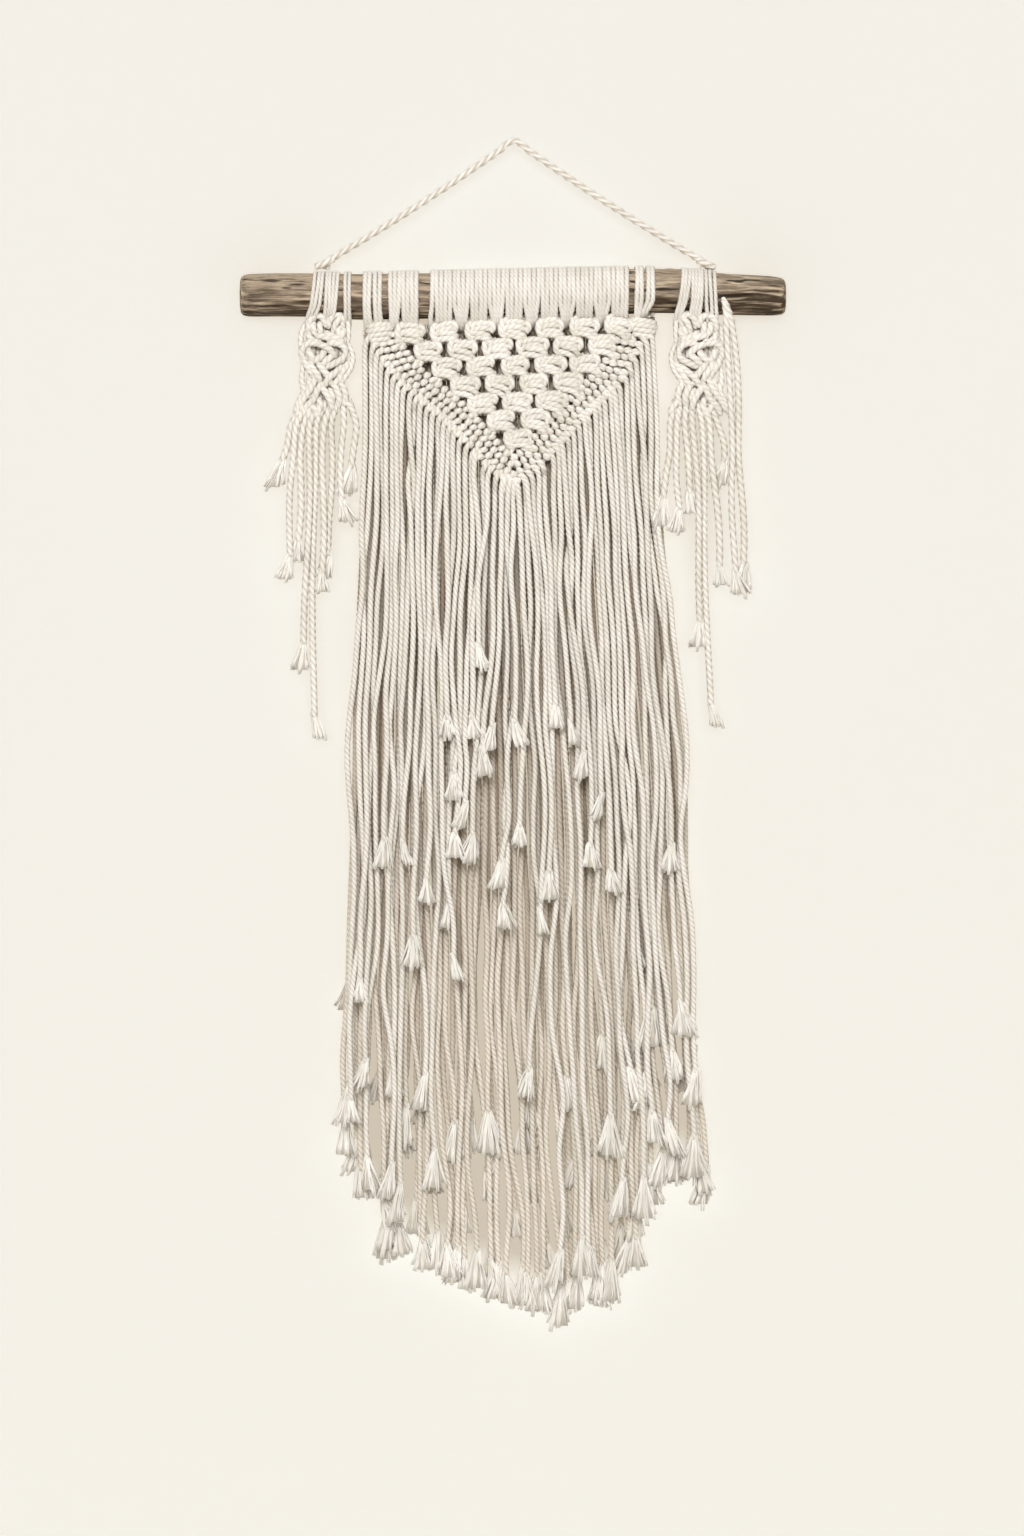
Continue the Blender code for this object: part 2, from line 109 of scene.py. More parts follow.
# Strands hidden behind the back fringe, seen through its gaps: how many, where, and how much
# higher than the hem they end.
INNER_STRANDS, INNER_PLANES = 38, (12.4, 14.2)
INNER_HIGHER = 120.0
# The hem from left to right: share of the width, height, and how uneven it is.
HEM = np.array(
    (
        (0.00, -738.0, 4.0), (0.05, -788.0, 4.0), (0.12, -826.0, 6.0), (0.30, -853.0, 8.0),
        (0.48, -873.0, 5.0), (0.60, -878.0, 4.0), (0.72, -866.0, 6.0), (0.80, -838.0, 8.0),
        (0.86, -784.0, 6.0), (0.93, -775.0, 4.0), (1.00, -797.0, 2.0),
    )
)
SHORT_EVERY, SHORT_BY = 5, 95.0
HEADER = (4.7, -137.9)  # the back fringe's header row: depth and height

# Side braids: middle x, then x of root, x of end, height of end and x below the braid of each
# strand. Sideways places are measured from the braid's middle.
BRAIDS = {
    "left": (
        -140.0,
        (
            (-16.0, -32.5, -256.0, -27.0), (-12.0, -28.5, -327.0, -23.0),
            (-8.0, -22.0, -316.0, -17.5), (-4.0, -16.0, -393.0, -13.0),
            (0.0, -10.5, -447.0, -8.0), (4.0, -4.0, -340.0, -2.0), (8.0, 2.0, -326.0, 3.0),
            (12.0, 10.5, -286.0, 12.5), (16.0, 17.5, -261.0, 22.0),
        ),
    ),
    "right": (
        137.0,
        (
            (-16.0, -24.0, -284.0, -20.0), (-12.0, -14.0, -292.0, -15.0),
            (-8.0, -5.5, -280.0, -9.0), (-4.0, 3.5, -376.0, -3.5), (0.0, 9.5, -438.0, 4.0),
            (4.0, 16.5, -335.0, 9.5), (8.0, 22.0, -256.0, 16.0), (12.0, 28.0, -340.0, 26.0),
            (16.0, 34.5, -334.0, 31.0),
        ),
    ),
}
# Half width of a braid by height: the plait swells, waists in and opens into its strands.
BRAID_WIDTH = np.array(
    (
        (-131.0, 15.5), (-140.0, 16.0), (-147.0, 15.5), (-156.0, 18.0), (-166.0, 16.0),
        (-176.0, 11.0), (-186.0, 13.5), (-198.0, 18.5), (-206.0, 20.0),
    )
)
# Cords of the left braid: thickness, then x, height and front of each of its points. The
# right braid has them mirrored.
BRAID_RODS = (
    (3.8, -15.5, -134, -1.0, -18.8, -142, 0.0, -19.2, -152, 0.5, -17.6, -162, 1.0, -18.2,
     -172, 1.4),
    (5.0, -14.3, -141, 1.4, -13.4, -134, 3.0, -8.8, -129.4, 4.0, -3.6, -130.6, 4.6, -0.4,
     -138, 3.0),
    (4.6, -10.2, -134, 1.4, -10.0, -139, 3.0, -8.6, -144, 2.2),
    (4.4, -5.4, -134, 2.0, -5.6, -138.6, 3.4, -4.4, -144, 2.0),
    (5.0, 1.0, -139, 1.6, 2.6, -132, 3.8, 6.8, -128.6, 4.4, 10.8, -130.4, 4.0, 11.6, -139, 1.6),
    (4.4, 13.6, -128, 1.4, 10.2, -131.6, 5.0, 6.8, -135.8, 5.6, 4.4, -143, 3.0),
    (4.6, 7.6, -137, 2.0, 8.8, -140.6, 3.6, 7.0, -145.6, 2.0),
    (4.6, 12.6, -139, 2.0, 12.2, -143, 3.6, 8.6, -147, 3.0),
    (3.4, 15.0, -131, 1.0, 15.8, -141, 2.0, 15.2, -150, 1.2),
    (4.8, -14.2, -141.6, 1.4, -13.0, -146, 3.0, -8.8, -149, 3.4, -4.2, -148.6, 2.4),
    (5.0, -8.4, -144.6, 2.4, -3.4, -145, 4.6, 1.8, -146.8, 4.4, 5.4, -150, 2.4),
    (5.0, -1.4, -141.6, 2.4, 2.4, -144.6, 4.8, 7.2, -146.6, 4.4, 12.0, -149.4, 2.2),
    (5.0, -18.6, -162, 0.6, -18.4, -154.6, 2.6, -13.6, -150, 4.8, -6.0, -150.8, 6.0),
    (5.0, -7.0, -150.6, 6.0, -1.0, -152.6, 6.2, 3.6, -156, 5.4, 7.4, -160.6, 2.6),
    (5.0, -0.6, -151.4, 3.0, 6.2, -150, 4.8, 12.2, -152.6, 5.4, 14.4, -158, 5.0),
    (5.0, 14.4, -157, 5.0, 12.0, -161.6, 5.4, 6.4, -165, 5.4, -0.6, -168.4, 3.0),
    (3.8, 15.6, -150, 1.0, 18.8, -159, 1.6, 17.6, -168, 2.0, 11.6, -177.6, 3.0, 5.6, -184, 1.6),
    (5.2, -14.6, -155, 2.0, -12.2, -158.6, 4.2, -10.4, -163.6, 2.4),
    (5.0, -9.8, -164, 2.0, -6.6, -162, 4.4, -3.0, -158.6, 4.8, -1.6, -154.6, 3.0),
    (5.0, -4.2, -167, 2.0, -0.6, -163, 4.8, 3.2, -160, 4.4, 5.4, -157, 2.4),
    (4.8, -17.4, -160.6, 1.0, -15.6, -166, 3.2, -12.2, -171, 3.6, -8.8, -176.6, 2.0),
    (5.0, -12.6, -164, 2.4, -10.4, -169, 4.4, -6.8, -173.6, 4.4, -4.4, -179, 2.0),
    (5.0, -7.0, -165, 3.0, -3.4, -169.6, 5.2, 0.8, -175, 5.0, 2.8, -181, 2.0),
    (4.8, 12.6, -166, 2.4, 7.4, -171.4, 5.4, 1.4, -176.6, 5.4, -3.0, -183.6, 2.4),
    (4.8, 15.4, -163, 1.0, 13.6, -168.6, 3.4, 9.8, -173, 3.6, 5.6, -177, 2.0),
    (4.8, 12.4, -172.6, 2.0, 8.4, -177.6, 4.2, 3.6, -182.6, 3.0),
    (4.2, -18.2, -170, 1.0, -18.6, -178, 2.6, -17.2, -186, 2.8, -21.0, -194, 2.2, -24.0, -203, 1.0),
    (5.0, -8.4, -175.6, 2.0, -11.2, -181.6, 4.4, -14.6, -187.6, 4.4, -19.4, -194, 2.6,
     -22.4, -201, 1.0),
    (5.0, -4.0, -179.6, 2.4, -7.2, -185.6, 4.8, -9.8, -192, 4.4, -15.0, -197.4, 2.6, -17.6,
     -204, 1.0),
    (5.0, -4.8, -181.6, 2.0, -1.4, -187, 4.8, 2.0, -193, 4.8, 3.8, -200, 3.0),
    (5.0, 4.2, -179.6, 2.4, 7.6, -185.6, 4.8, 9.2, -191.6, 4.4, 7.8, -198, 2.0),
    (4.8, 9.6, -178, 2.0, 12.8, -184, 4.2, 14.2, -190, 3.4, 12.6, -197, 2.4),
    (4.8, -14.2, -176, 2.0, -13.2, -181, 2.8, -16.0, -187, 2.0),
    (4.8, 1.4, -184, 2.0, 4.0, -189, 3.2, 4.0, -195, 2.4),
    (5.0, -6.2, -190.6, 2.0, -4.6, -196, 4.4, -6.6, -202, 3.6, -11.2, -207, 1.0),
    (4.8, -12.2, -195.6, 2.0, -9.2, -199.6, 4.0, -5.4, -205, 3.0),
    (4.8, 12.6, -193, 2.4, 17.0, -196.4, 3.6, 20.6, -203, 3.0),
)
BRAID_CORES = (-11.0, -6.6, -2.2, 2.2, 6.6, 11.0)  # hidden cords down the braid's middle
# Long strands beside a braid start on the wraps: index, then x and height from the middle.
BRAID_OUTER = {
    "left": {},
    "right": {
        7: ((19.0, -116.0), (21.0, -124.0), (22.5, -150.0), (24.5, -182.0)),
        8: ((20.5, -119.0), (25.5, -134.0), (29.5, -163.0), (31.0, -190.0)),
    },
}
BRAID_Y = -3.6
ROD_SHARE = 0.6  # radius of a braid's cord, as a share of the thickness that its row gives
BRAID_END, SPREAD_END = -192.0, -212.0  # the loose strands leave the braid, and hang from here

# The hanger's cord, and its ends: x and height.
HANGER_RADIUS = 2.6
HANGER_LEFT = (-142.5, -89.4)
HANGER_RIGHT = (144.5, -89.8)
HANGER_SAG = 2.2
HANGER_STEPS = 12
# Cords of a knot at the hanger's end: radius, then outward, depth and height of its points.
HANGER_KNOT = (
    (2.9, ((-7.0, 0.5, 3.0), (-2.0, -1.5, 0.6), (2.5, -1.0, -1.5), (6.0, 0.5, -2.6))),
    (2.5, ((5.6, 2.6, -1.0), (1.0, 3.6, -1.8), (-4.0, 2.0, -2.6))),
)


# --- Small sums -------------------------------------------------------------------------


def read(table, key, column):
    """Reads a column of a table at a key, in straight lines between its rows."""
    table = np.asarray(table, float)
    order = np.argsort(table[:, 0])
    return np.interp(key, table[order, 0], table[order, column])


def uneven(index, salt=0.0):
    """A fixed value from -1 to 1 that looks uneven from one index to the next."""
    return 2 * ((index * GOLDEN + salt) % 1.0) - 1


def ramp(value, start, end):
    """Rises from 0 at start to 1 at end, and falls when end is the smaller."""
    return np.clip((value - start) / (end - start), 0.0, 1.0)


def fall_x(share, z):
    """Sideways place of a share of the fringe's width at a height."""
    left, right = read(FALL, z, 1), read(FALL, z, 2)
    return left + share * (right - left)


def knot_place(row, index):
    """Middle of a square knot of the net. Row and index may lie past the net's edge."""
    count = NET_ROWS - row
    x = NET_X + ROW_SHIFT * row + KNOT_PITCH * (index - (count - 1) / 2)
    return x, NET_Z - ROW_PITCH * row + NET_SLOPE * x


def run_along(points):
    """Length from the first point to each point of a line."""
    steps = np.linalg.norm(np.diff(points, axis=0), axis=1)
    return np.concatenate(((0.0,), np.cumsum(steps)))


def smooth_path(points, step):
    """A rounded line through points, cut into even steps of about the given length."""
    points = np.asarray(points, float)
    padded = np.vstack((2 * points[0] - points[1], points, 2 * points[-1] - points[-2]))
    spans = np.linalg.norm(np.diff(points, axis=0), axis=1)
    fine = []
    for index, span in enumerate(spans):
        count = max(int(math.ceil(2 * span / step)), 3)
        t = np.linspace(0.0, 1.0, count, endpoint=False)[:, None]
        a, b, c, d = padded[index : index + 4]
        part = 2 * b + (c - a) * t + (2 * a - 5 * b + 4 * c - d) * t**2
        fine.append(0.5 * (part + (3 * b - 3 * c + d - a) * t**3))
    fine = np.vstack((*fine, points[-1:]))
    run = run_along(fine)
    count = max(int(round(run[-1] / step)), 2)
    even = np.linspace(0.0, run[-1], count + 1)
    return np.column_stack([np.interp(even, run, fine[:, axis]) for axis in range(3)])


# --- Cord work: twisted cords gathered into one mesh ------------------------------------

PLIES, HAND = 3, -1  # plies of a cord, and the way round that they turn
TUFT_FIBRES, FIBRE_RADIUS = 46, 0.78
WEAVE = 14.0  # length of cord that one turn of the finish's pattern takes
MARKS = ("groove", "tone", "deep")  # what the cotton's finish reads at every point: the ply hollows, the random tone and the painted shade


class CordWork:
    """Collects twisted cords and loose fibres, then makes them one mesh."""

    def __init__(self, depth=0.0, extra_shade=0.0):
        """Depth is the painted shade that each place gets, and the second value the painted shade
        on a cord's far flanks.
        """
        self.points, self.faces, self.uv, self.marks = [], [], [], []
        self.depth, self.extra_shade = depth, extra_shade
        self.total = 0

    def cord(self, points, step, radius, lay=15.0, hollow=0.8, tone=0.0, ends="", up=(0, 1, 0)):
        """A cord of twisted plies along a rounded line through points, which it returns.

        Pinched ends dive under another cord, and a cut cord is thinner at its last points.
        """
        path = smooth_path(points, step)
        rings = len(path)
        radius = np.full(rings, float(radius))
        if ends == "pinched":
            radius *= 1 - 0.28 * np.abs(np.linspace(-1.0, 1.0, rings)) ** 4
        elif ends == "cut":
            radius[-2:] *= (0.95, 0.75)
        way = np.gradient(path, axis=0)
        way /= np.linalg.norm(way, axis=1)[:, None]
        run = run_along(path)
        side = np.empty_like(path)
        first = np.array(up, float)
        if abs(first @ way[0]) > 0.9:
            first = np.array((1.0, 0.0, 0.0))
        for ring in range(rings):
            first = first - way[ring] * (first @ way[ring])
            first = first / np.linalg.norm(first)
            side[ring] = first
        other = np.cross(way, side)
        sides = PLIES * 2
        turn = 2 * math.pi * HAND * run / lay
        angle = turn[:, None] + 2 * math.pi * np.arange(sides) / sides
        crest = np.where(np.arange(sides) % 2, 1.0, hollow)
        reach = radius[:, None] * crest
        shape = side[:, None, :] * (np.cos(angle) * reach)[..., None]
        shape = shape + other[:, None, :] * (np.sin(angle) * reach)[..., None]
        shape = shape + path[:, None, :]
        # Painted shade on the flanks of the cord that face the back.
        rise = (shape[..., 1] - path[:, None, 1]) / radius[:, None]
        extra_shade = ramp(rise, -0.5, 0.4) * ramp(rise, 1.1, 0.6)
        self.tube(shape, np.tile(crest > 0.99, (rings, 1)), run, tone, self.extra_shade * extra_shade)
        return path

    def tube(self, shape, crest, run, tone, extra_shade=0.0):
        """Rings of points joined into a closed tube."""
        rings, sides, _ = shape.shape
        number = self.total + np.arange(rings * sides).reshape(rings, sides)
        after = np.roll(number, -1, axis=1)
        walls = np.stack((number[:-1], after[:-1], after[1:], number[1:]), axis=-1)
        self.points.append(shape.reshape(-1, 3))
        self.faces.append(walls.reshape(-1, 4))
        spots = np.stack(np.meshgrid(np.arange(sides + 1) / sides, run / WEAVE), axis=-1)
        corners = (spots[:-1, :-1], spots[:-1, 1:], spots[1:, 1:], spots[1:, :-1])
        self.uv.append(np.stack(corners, axis=2).reshape(-1, 2))
        # Painted shade at every point: the depth's, or the given far-side shade where that is
        # darker.
        deep = self.depth(shape) if callable(self.depth) else self.depth
        deep = np.maximum(np.broadcast_to(deep, (rings, sides)), extra_shade)
        marks = np.stack((crest, np.full(crest.shape, tone), deep), axis=-1)
        self.marks.append(marks.reshape(-1, 3))
        hub = self.total + rings * sides
        for loop, ring in ((number[0][::-1], 0), (number[-1], rings - 1)):
            self.points.append(shape[ring].mean(axis=0)[None])
            fan = np.stack((loop, np.roll(loop, -1), np.full(sides, hub)), axis=-1)
            self.faces.append(fan)
            self.uv.append(np.full((sides * 3, 2), 0.5) + (0.0, spots[ring, 0, 1]))
            self.marks.append(((0.6, tone, deep[ring].mean()),))
            hub += 1
        self.total = hub

    def fibre(self, path, tone):
        """A loose three-sided thread of a frayed end."""
        path = np.asarray(path, float)
        angle = path[0, 0] * 7 - 2 * math.pi * np.arange(3) / 3
        ring = np.stack((np.cos(angle), np.sin(angle), np.zeros(3)), axis=-1)
        sizes = FIBRE_RADIUS * np.linspace(1.0, 0.75, len(path))
        shape = path[:, None, :] + ring[None] * sizes[:, None, None]
        run = np.linspace(0.0, WEAVE, len(path))
        self.tube(shape, np.ones((len(path), 3)), run, tone)

    def tuft(self, end, way, length, spread, seed, tone):
        """A frayed end: a bell of threads, gathered in clumps and cut off nearly level."""
        clumps = 6 + int(seed * 2.3) % 3
        for index in range(TUFT_FIBRES):
            share = (index * GOLDEN + 0.17 * seed) % 1.0
            clump = int(share * clumps)
            turn = 2 * math.pi * share
            middle = 2 * math.pi * (clump + 0.5) / clumps
            out = 0.58 + 0.42 * ((index * 0.7549 + 0.3) % 1.0)
            out *= 1 + 0.22 * uneven(clump, seed * 0.61)
            reach = length * (1 + 0.09 * uneven(clump, seed * 0.37) + 0.06 * uneven(index, seed))
            reach *= 1 - 0.12 * out * math.cos(middle) ** 2 - 0.05 * (math.sin(middle) > 0)
            bend = 1.15 + 0.5 * uneven(clump, seed * 0.29)
            path = []
            for step in (0.0, 0.16, 0.36, 0.6, 0.82, 1.0):
                wide = 1.5 + (spread - 1.5) * step**bend
                angle = turn + (middle - turn) * 0.75 * step
                spot = end + way * reach * step
                spot[0] += wide * out * math.cos(angle) + 0.4 * math.sin(step * 8 + index)
                spot[0] += 1.5 * math.sin(seed * 2.1) * step * step
                spot[1] += 0.55 * wide * out * math.sin(angle)
                path.append(spot)
            shade = tone + 0.9 * uneven(index, seed * 0.13) + 0.7 * uneven(clump, seed * 0.2)
            self.fibre(path, shade)
        self.heart(end, way, length, spread, tone)

    def heart(self, end, way, length, spread, tone):
        """The dense middle of a frayed end, given a lower tone and painted shade between its
        threads.
        """
        steps = np.array((0.0, 0.25, 0.6, 0.93))
        wide = 1.4 + (spread - 1.4) * steps**1.25
        angle = -2 * math.pi * np.arange(10) / 10
        crest = np.where(np.arange(10) % 2, 0.80, 0.66)
        flat = np.stack((np.cos(angle), 0.52 * np.sin(angle), 0 * angle), axis=-1)
        shape = (end + way * length * steps[:, None])[:, None, :]
        shape = shape + wide[:, None, None] * (flat * crest[:, None])[None]
        # A lower tone and painted shade on the heart stand for the shade between the threads.
        self.tube(shape, np.ones(shape.shape[:2]), steps * WEAVE, tone - 1.0, 0.34)

    def mesh(self, name):
        """The one mesh, with the marks at its points and the way along each cord."""
        mesh = bpy.data.meshes.new(name)
        points = np.vstack(self.points) * MM
        mesh.vertices.add(len(points))
        mesh.vertices.foreach_set("co", points.ravel())
        corners = np.concatenate([faces.ravel() for faces in self.faces])
        sizes = np.concatenate([np.full(len(f), f.shape[1]) for f in self.faces])
        starts = np.concatenate(((0,), np.cumsum(sizes)[:-1]))
        mesh.loops.add(len(corners))
        mesh.loops.foreach_set("vertex_index", corners.astype(np.int32))
        mesh.polygons.add(len(sizes))
        mesh.polygons.foreach_set("loop_start", starts.astype(np.int32))
        mesh.update(calc_edges=True)
        layer = mesh.uv_layers.new(name="cord")
        layer.uv.foreach_set("vector", np.vstack(self.uv).ravel())
        for word, values in zip(MARKS, np.vstack(self.marks).T):
            attribute = mesh.attributes.new(word, "FLOAT", "POINT")
            attribute.data.foreach_set("value", values.copy())
        mesh.shade_smooth()
        return mesh


# --- Finishes ---------------------------------------------------------------------------


class Graph:
    """Short ways to add and join the nodes of a material or a node group."""

    def __init__(self, tree):
        self.tree = tree

    def add(self, kind, **settings):
        node = self.tree.nodes.new("ShaderNode" + kind)
        for name, value in settings.items():
            setattr(node, name, value)
        return node

    def put(self, node, values):
        """Joins a socket to each named input, or sets the input to a plain value."""
        for name, value in values.items():
            if isinstance(value, bpy.types.NodeSocket):
                self.tree.links.new(value, node.inputs[name])
            else:
                node.inputs[name].default_value = value
        return node

    def sum(self, operation, *values, clamp=False):
        node = self.add("Math", operation=operation, use_clamp=clamp)
        self.put(node, dict(enumerate(values)))
        return node.outputs[0]

    def mix(self, share, first, second, blend="MIX"):
        node = self.add("Mix", data_type="RGBA", blend_type=blend)
        node.clamp_factor = True
        self.put(node, {0: share, 6: first, 7: second})
        return node.outputs[2]

    def noise(self, place, scale, detail=3.0, roughness=0.5):
        node = self.add("TexNoise")
        values = {"Vector": place, "Scale": scale, "Detail": detail, "Roughness": roughness}
        return self.put(node, values).outputs["Fac"]

    def stretch(self, place, scale, location=(0.0, 0.0, 0.0)):
        values = {"Vector": place, "Scale": scale, "Location": location}
        return self.put(self.add("Mapping"), values).outputs["Vector"]

    def span(self, value, low, high, out_low=0.0, out_high=1.0):
        values = {0: value, 1: low, 2: high, 3: out_low, 4: out_high}
        return self.put(self.add("MapRange"), values).outputs[0]

    def place(self):
        return self.add("TexCoord").outputs["Object"]

    def mark(self, name):
        return self.add("Attribute", attribute_name=name).outputs["Fac"]

    def parts(self, vector):
        return self.put(self.add("SeparateXYZ"), {0: vector}).outputs

    def grey(self, red, green, blue):
        node = self.add("CombineColor")
        return self.put(node, {0: red, 1: green, 2: blue}).outputs[0]

    def bump(self, height, distance):
        node = self.add("Bump")
        return self.put(node, {"Height": height, "Distance": distance}).outputs[0]


def new_material(name):
    """A material with its graph and its surface shader."""
    material = bpy.data.materials.new(name)
    material.use_nodes = True
    return material, Graph(material.node_tree), material.node_tree.nodes["Principled BSDF"]


def group_tree(name, takes, gives):
    """A node group with named sockets, and its graph."""
    tree = bpy.data.node_groups.new(name, "ShaderNodeTree")
    for word, kind, default in takes:
        socket = tree.interface.new_socket(name=word, in_out="INPUT", socket_type=kind)
        socket.default_value = default
    for word, kind in gives:
        tree.interface.new_socket(name=word, in_out="OUTPUT", socket_type=kind)
    graph = Graph(tree)
    return graph, tree.nodes.new("NodeGroupInput"), tree.nodes.new("NodeGroupOutput")


def cotton_group():
    """Twisted cotton: painted warm shade in the hollows between plies and along fine yarn lines,
    painted shade from the deep mark, and soft patches.
    """
    if "twisted_cotton" in bpy.data.node_groups:
        return bpy.data.node_groups["twisted_cotton"]
    takes = (
        ("Light", "NodeSocketColor", (0.85, 0.80, 0.71, 1.0)),
        # Hollow is the painted shade in the ply hollows, Deep the painted shade where a place lies
        # deep.
        ("Hollow", "NodeSocketColor", (0.42, 0.31, 0.195, 1.0)),
        ("Deep", "NodeSocketColor", (0.21, 0.13, 0.06, 1.0)),
        ("Hollow Strength", "NodeSocketFloat", 0.55),
        ("Yarn Lines", "NodeSocketFloat", 9.0),
    )
    gives = (
        ("Color", "NodeSocketColor"),
        ("Height", "NodeSocketFloat"),
        ("Roughness", "NodeSocketFloat"),
    )
    graph, start, end = group_tree("twisted_cotton", takes, gives)
    place = graph.place()
    along = graph.add("UVMap", uv_map="cord").outputs["UV"]
    groove, tone, deep = (graph.mark(word) for word in MARKS)
    split = graph.parts(along)
    slant = graph.sum("MULTIPLY_ADD", split[1], 0.5, split[0])
    lines = graph.sum("MULTIPLY", slant, start.outputs["Yarn Lines"])
    lines = graph.sum("SINE", graph.sum("MULTIPLY", lines, 2 * math.pi))
    fuzz = graph.noise(graph.stretch(along, (30.0, 5.0, 1.0)), 1.0, 4.0, 0.65)
    patch = graph.noise(place, 55.0, 2.0)
    # Painted shade: the hollows and the yarn lines go towards the Hollow colour, deep places
    # towards the Deep colour.
    hollow = graph.sum("POWER", graph.sum("SUBTRACT", 1.0, groove, clamp=True), 2.4)
    hollow = graph.sum("MULTIPLY", hollow, start.outputs["Hollow Strength"])
    thin = graph.sum("MULTIPLY", graph.span(lines, -1.0, -0.5, 1.0, 0.0), 0.06)
    hollow = graph.sum("ADD", hollow, thin, clamp=True)
    shade = graph.mix(hollow, start.outputs["Light"], start.outputs["Hollow"])
    shade = graph.mix(deep, shade, start.outputs["Deep"])
    level = graph.span(patch, 0.25, 0.75, 0.93, 1.06)
    level = graph.sum("MULTIPLY_ADD", tone, 0.055, level)
    level = graph.sum("MULTIPLY", level, graph.span(fuzz, 0.3, 0.7, 0.95, 1.04))
    grey = graph.grey(level, level, graph.sum("POWER", level, 1.25))
    colour = graph.mix(1.0, shade, grey, "MULTIPLY")
    height = graph.sum("MULTIPLY_ADD", lines, 0.30, graph.sum("MULTIPLY", fuzz, 0.22))
    rough = graph.span(fuzz, 0.2, 0.8, 0.92, 0.8)
    graph.put(end, {"Color": colour, "Height": height, "Roughness": rough})
    return graph.tree


def cotton(name, light, hollow_strength, bump=0.00018):
    """A cotton cord material with its own colour and strength of painted shade in its hollows."""
    material, graph, shader = new_material(name)
    group = graph.add("Group")
    group.node_tree = cotton_group()
    graph.put(group, {"Light": (*light, 1.0), "Hollow Strength": hollow_strength})
    looks = {
        "Base Color": group.outputs["Color"],
        "Roughness": group.outputs["Roughness"],
        "Normal": graph.bump(group.outputs["Height"], bump),
        "Specular IOR Level": 0.25,
        "Sheen Weight": 0.1,
        "Sheen Roughness": 0.6,
        "Sheen Tint": (1.0, 0.97, 0.92, 1.0),
    }
    graph.put(shader, looks)
    return material


def branch_wood(name, light, dark):
    """Weathered bark-free wood: long streaks and fine dark cracks, with painted light that makes
    the top paler than the underside.
    """
    material, graph, shader = new_material(name)
    place = graph.place()
    bend = graph.noise(place, 16.0, 2.0)
    warp = graph.add("VectorMath", operation="ADD")
    lift = graph.add("CombineXYZ")
    graph.put(lift, {2: graph.span(bend, 0.0, 1.0, -0.004, 0.004)})
    graph.put(warp, {0: place, 1: lift.outputs[0]})
    line = warp.outputs[0]
    broad = graph.noise(graph.stretch(line, (26.0, 120.0, 120.0)), 1.0, 4.0, 0.6)
    fine = graph.noise(graph.stretch(line, (55.0, 900.0, 900.0)), 1.0, 5.0, 0.7)
    streak = graph.noise(graph.stretch(line, (22.0, 330.0, 330.0), (3.0, 1.0, 0.0)), 1.0, 4.0)
    crack = graph.noise(graph.stretch(line, (20.0, 210.0, 210.0), (7.0, 4.0, 2.0)), 1.0, 3.0)
    crack = graph.span(crack, 0.33, 0.39, 1.0, 0.0)
    split = graph.parts(place)
    # Painted light: the wood turns paler from the underside to the top, as light from above would
    # make it.
    painted_top_light = graph.span(split[2], -0.122, -0.102)
    weathering_and_painted_light = graph.sum("MULTIPLY_ADD", graph.span(broad, 0.25, 0.75, -0.5, 0.5), 1.15, painted_top_light)
    # The wood is also darker towards its right end.
    weathering_and_painted_light = graph.sum("ADD", weathering_and_painted_light, graph.span(split[0], 0.06, 0.17, 0.0, -0.3))
    colour = graph.mix(graph.sum("ADD", weathering_and_painted_light, 0.05, clamp=True), (*dark, 1.0), (*light, 1.0))
    pale = (min(light[0] * 1.5, 1.0), light[1] * 1.5, light[2] * 1.5, 1.0)
    colour = graph.mix(graph.span(streak, 0.5, 0.66, 0.0, 0.8), colour, pale)
    deep = (dark[0] * 0.3, dark[1] * 0.27, dark[2] * 0.24, 1.0)
    colour = graph.mix(graph.span(fine, 0.3, 0.52, 0.8, 0.0), colour, deep)
    colour = graph.mix(graph.span(streak, 0.3, 0.42, 0.55, 0.0), colour, deep)
    colour = graph.mix(graph.sum("MULTIPLY", crack, 0.9), colour, deep)
    height = graph.sum("MULTIPLY_ADD", fine, 0.6, graph.sum("MULTIPLY", crack, -1.2))
    height = graph.sum("MULTIPLY_ADD", broad, 0.7, height)
    height = graph.sum("MULTIPLY_ADD", streak, 0.8, height)
    looks = {
        "Base Color": colour,
        "Normal": graph.bump(height, 0.0011),
        "Roughness": graph.span(fine, 0.3, 0.7, 0.9, 0.66),
        "Specular IOR Level": 0.3,
    }
    graph.put(shader, looks)
    return material


# --- Settings ---------------------------------------------------------------------------


def length_setting(name, description, size):
    """A setting that holds a length, given here in millimetres."""
    return FloatProperty(name=name, description=description, default=size * MM, unit="LENGTH")


def colour_setting(name, description, shade):
    """A setting that holds a colour."""
    return FloatVectorProperty(
        name=name, description=description, default=shade, subtype="COLOR"
    )


class CordSettings(bpy.types.PropertyGroup):
    strand: length_setting("Strand thickness", "Thickness of a hanging strand", 4.8)
    knot: length_setting("Knot cord thickness", "Thickness of a cord pulled tight in a knot", 4.8)
    rope: length_setting("Side strand thickness", "Thickness of a strand below a side braid", 5.6)
    lay: length_setting("Length of lay", "Length in which the plies of a cord make one turn", 12.5)
    cotton: colour_setting("Cotton", "Net, borders and front fringe", (0.94, 0.92, 0.875))
    # The shaded colour is the cotton made darker for the strands behind: painted shade.
    shaded: colour_setting("Back cotton", "Fringe that hangs behind", (0.92, 0.88, 0.81))
    frayed: colour_setting("Frayed cotton", "Combed ends of the strands", (0.95, 0.93, 0.885))


class BranchSettings(bpy.types.PropertyGroup):
    # The lighter wood also stands for painted light on the branch's top.
    light: colour_setting("Weathered wood", "Bleached wood", (0.5, 0.4, 0.295))
    dark: colour_setting("Dark wood", "Darker streaks", (0.072, 0.047, 0.027))
    relief: length_setting("Relief", "Height of the branch's bumps", 0.9)


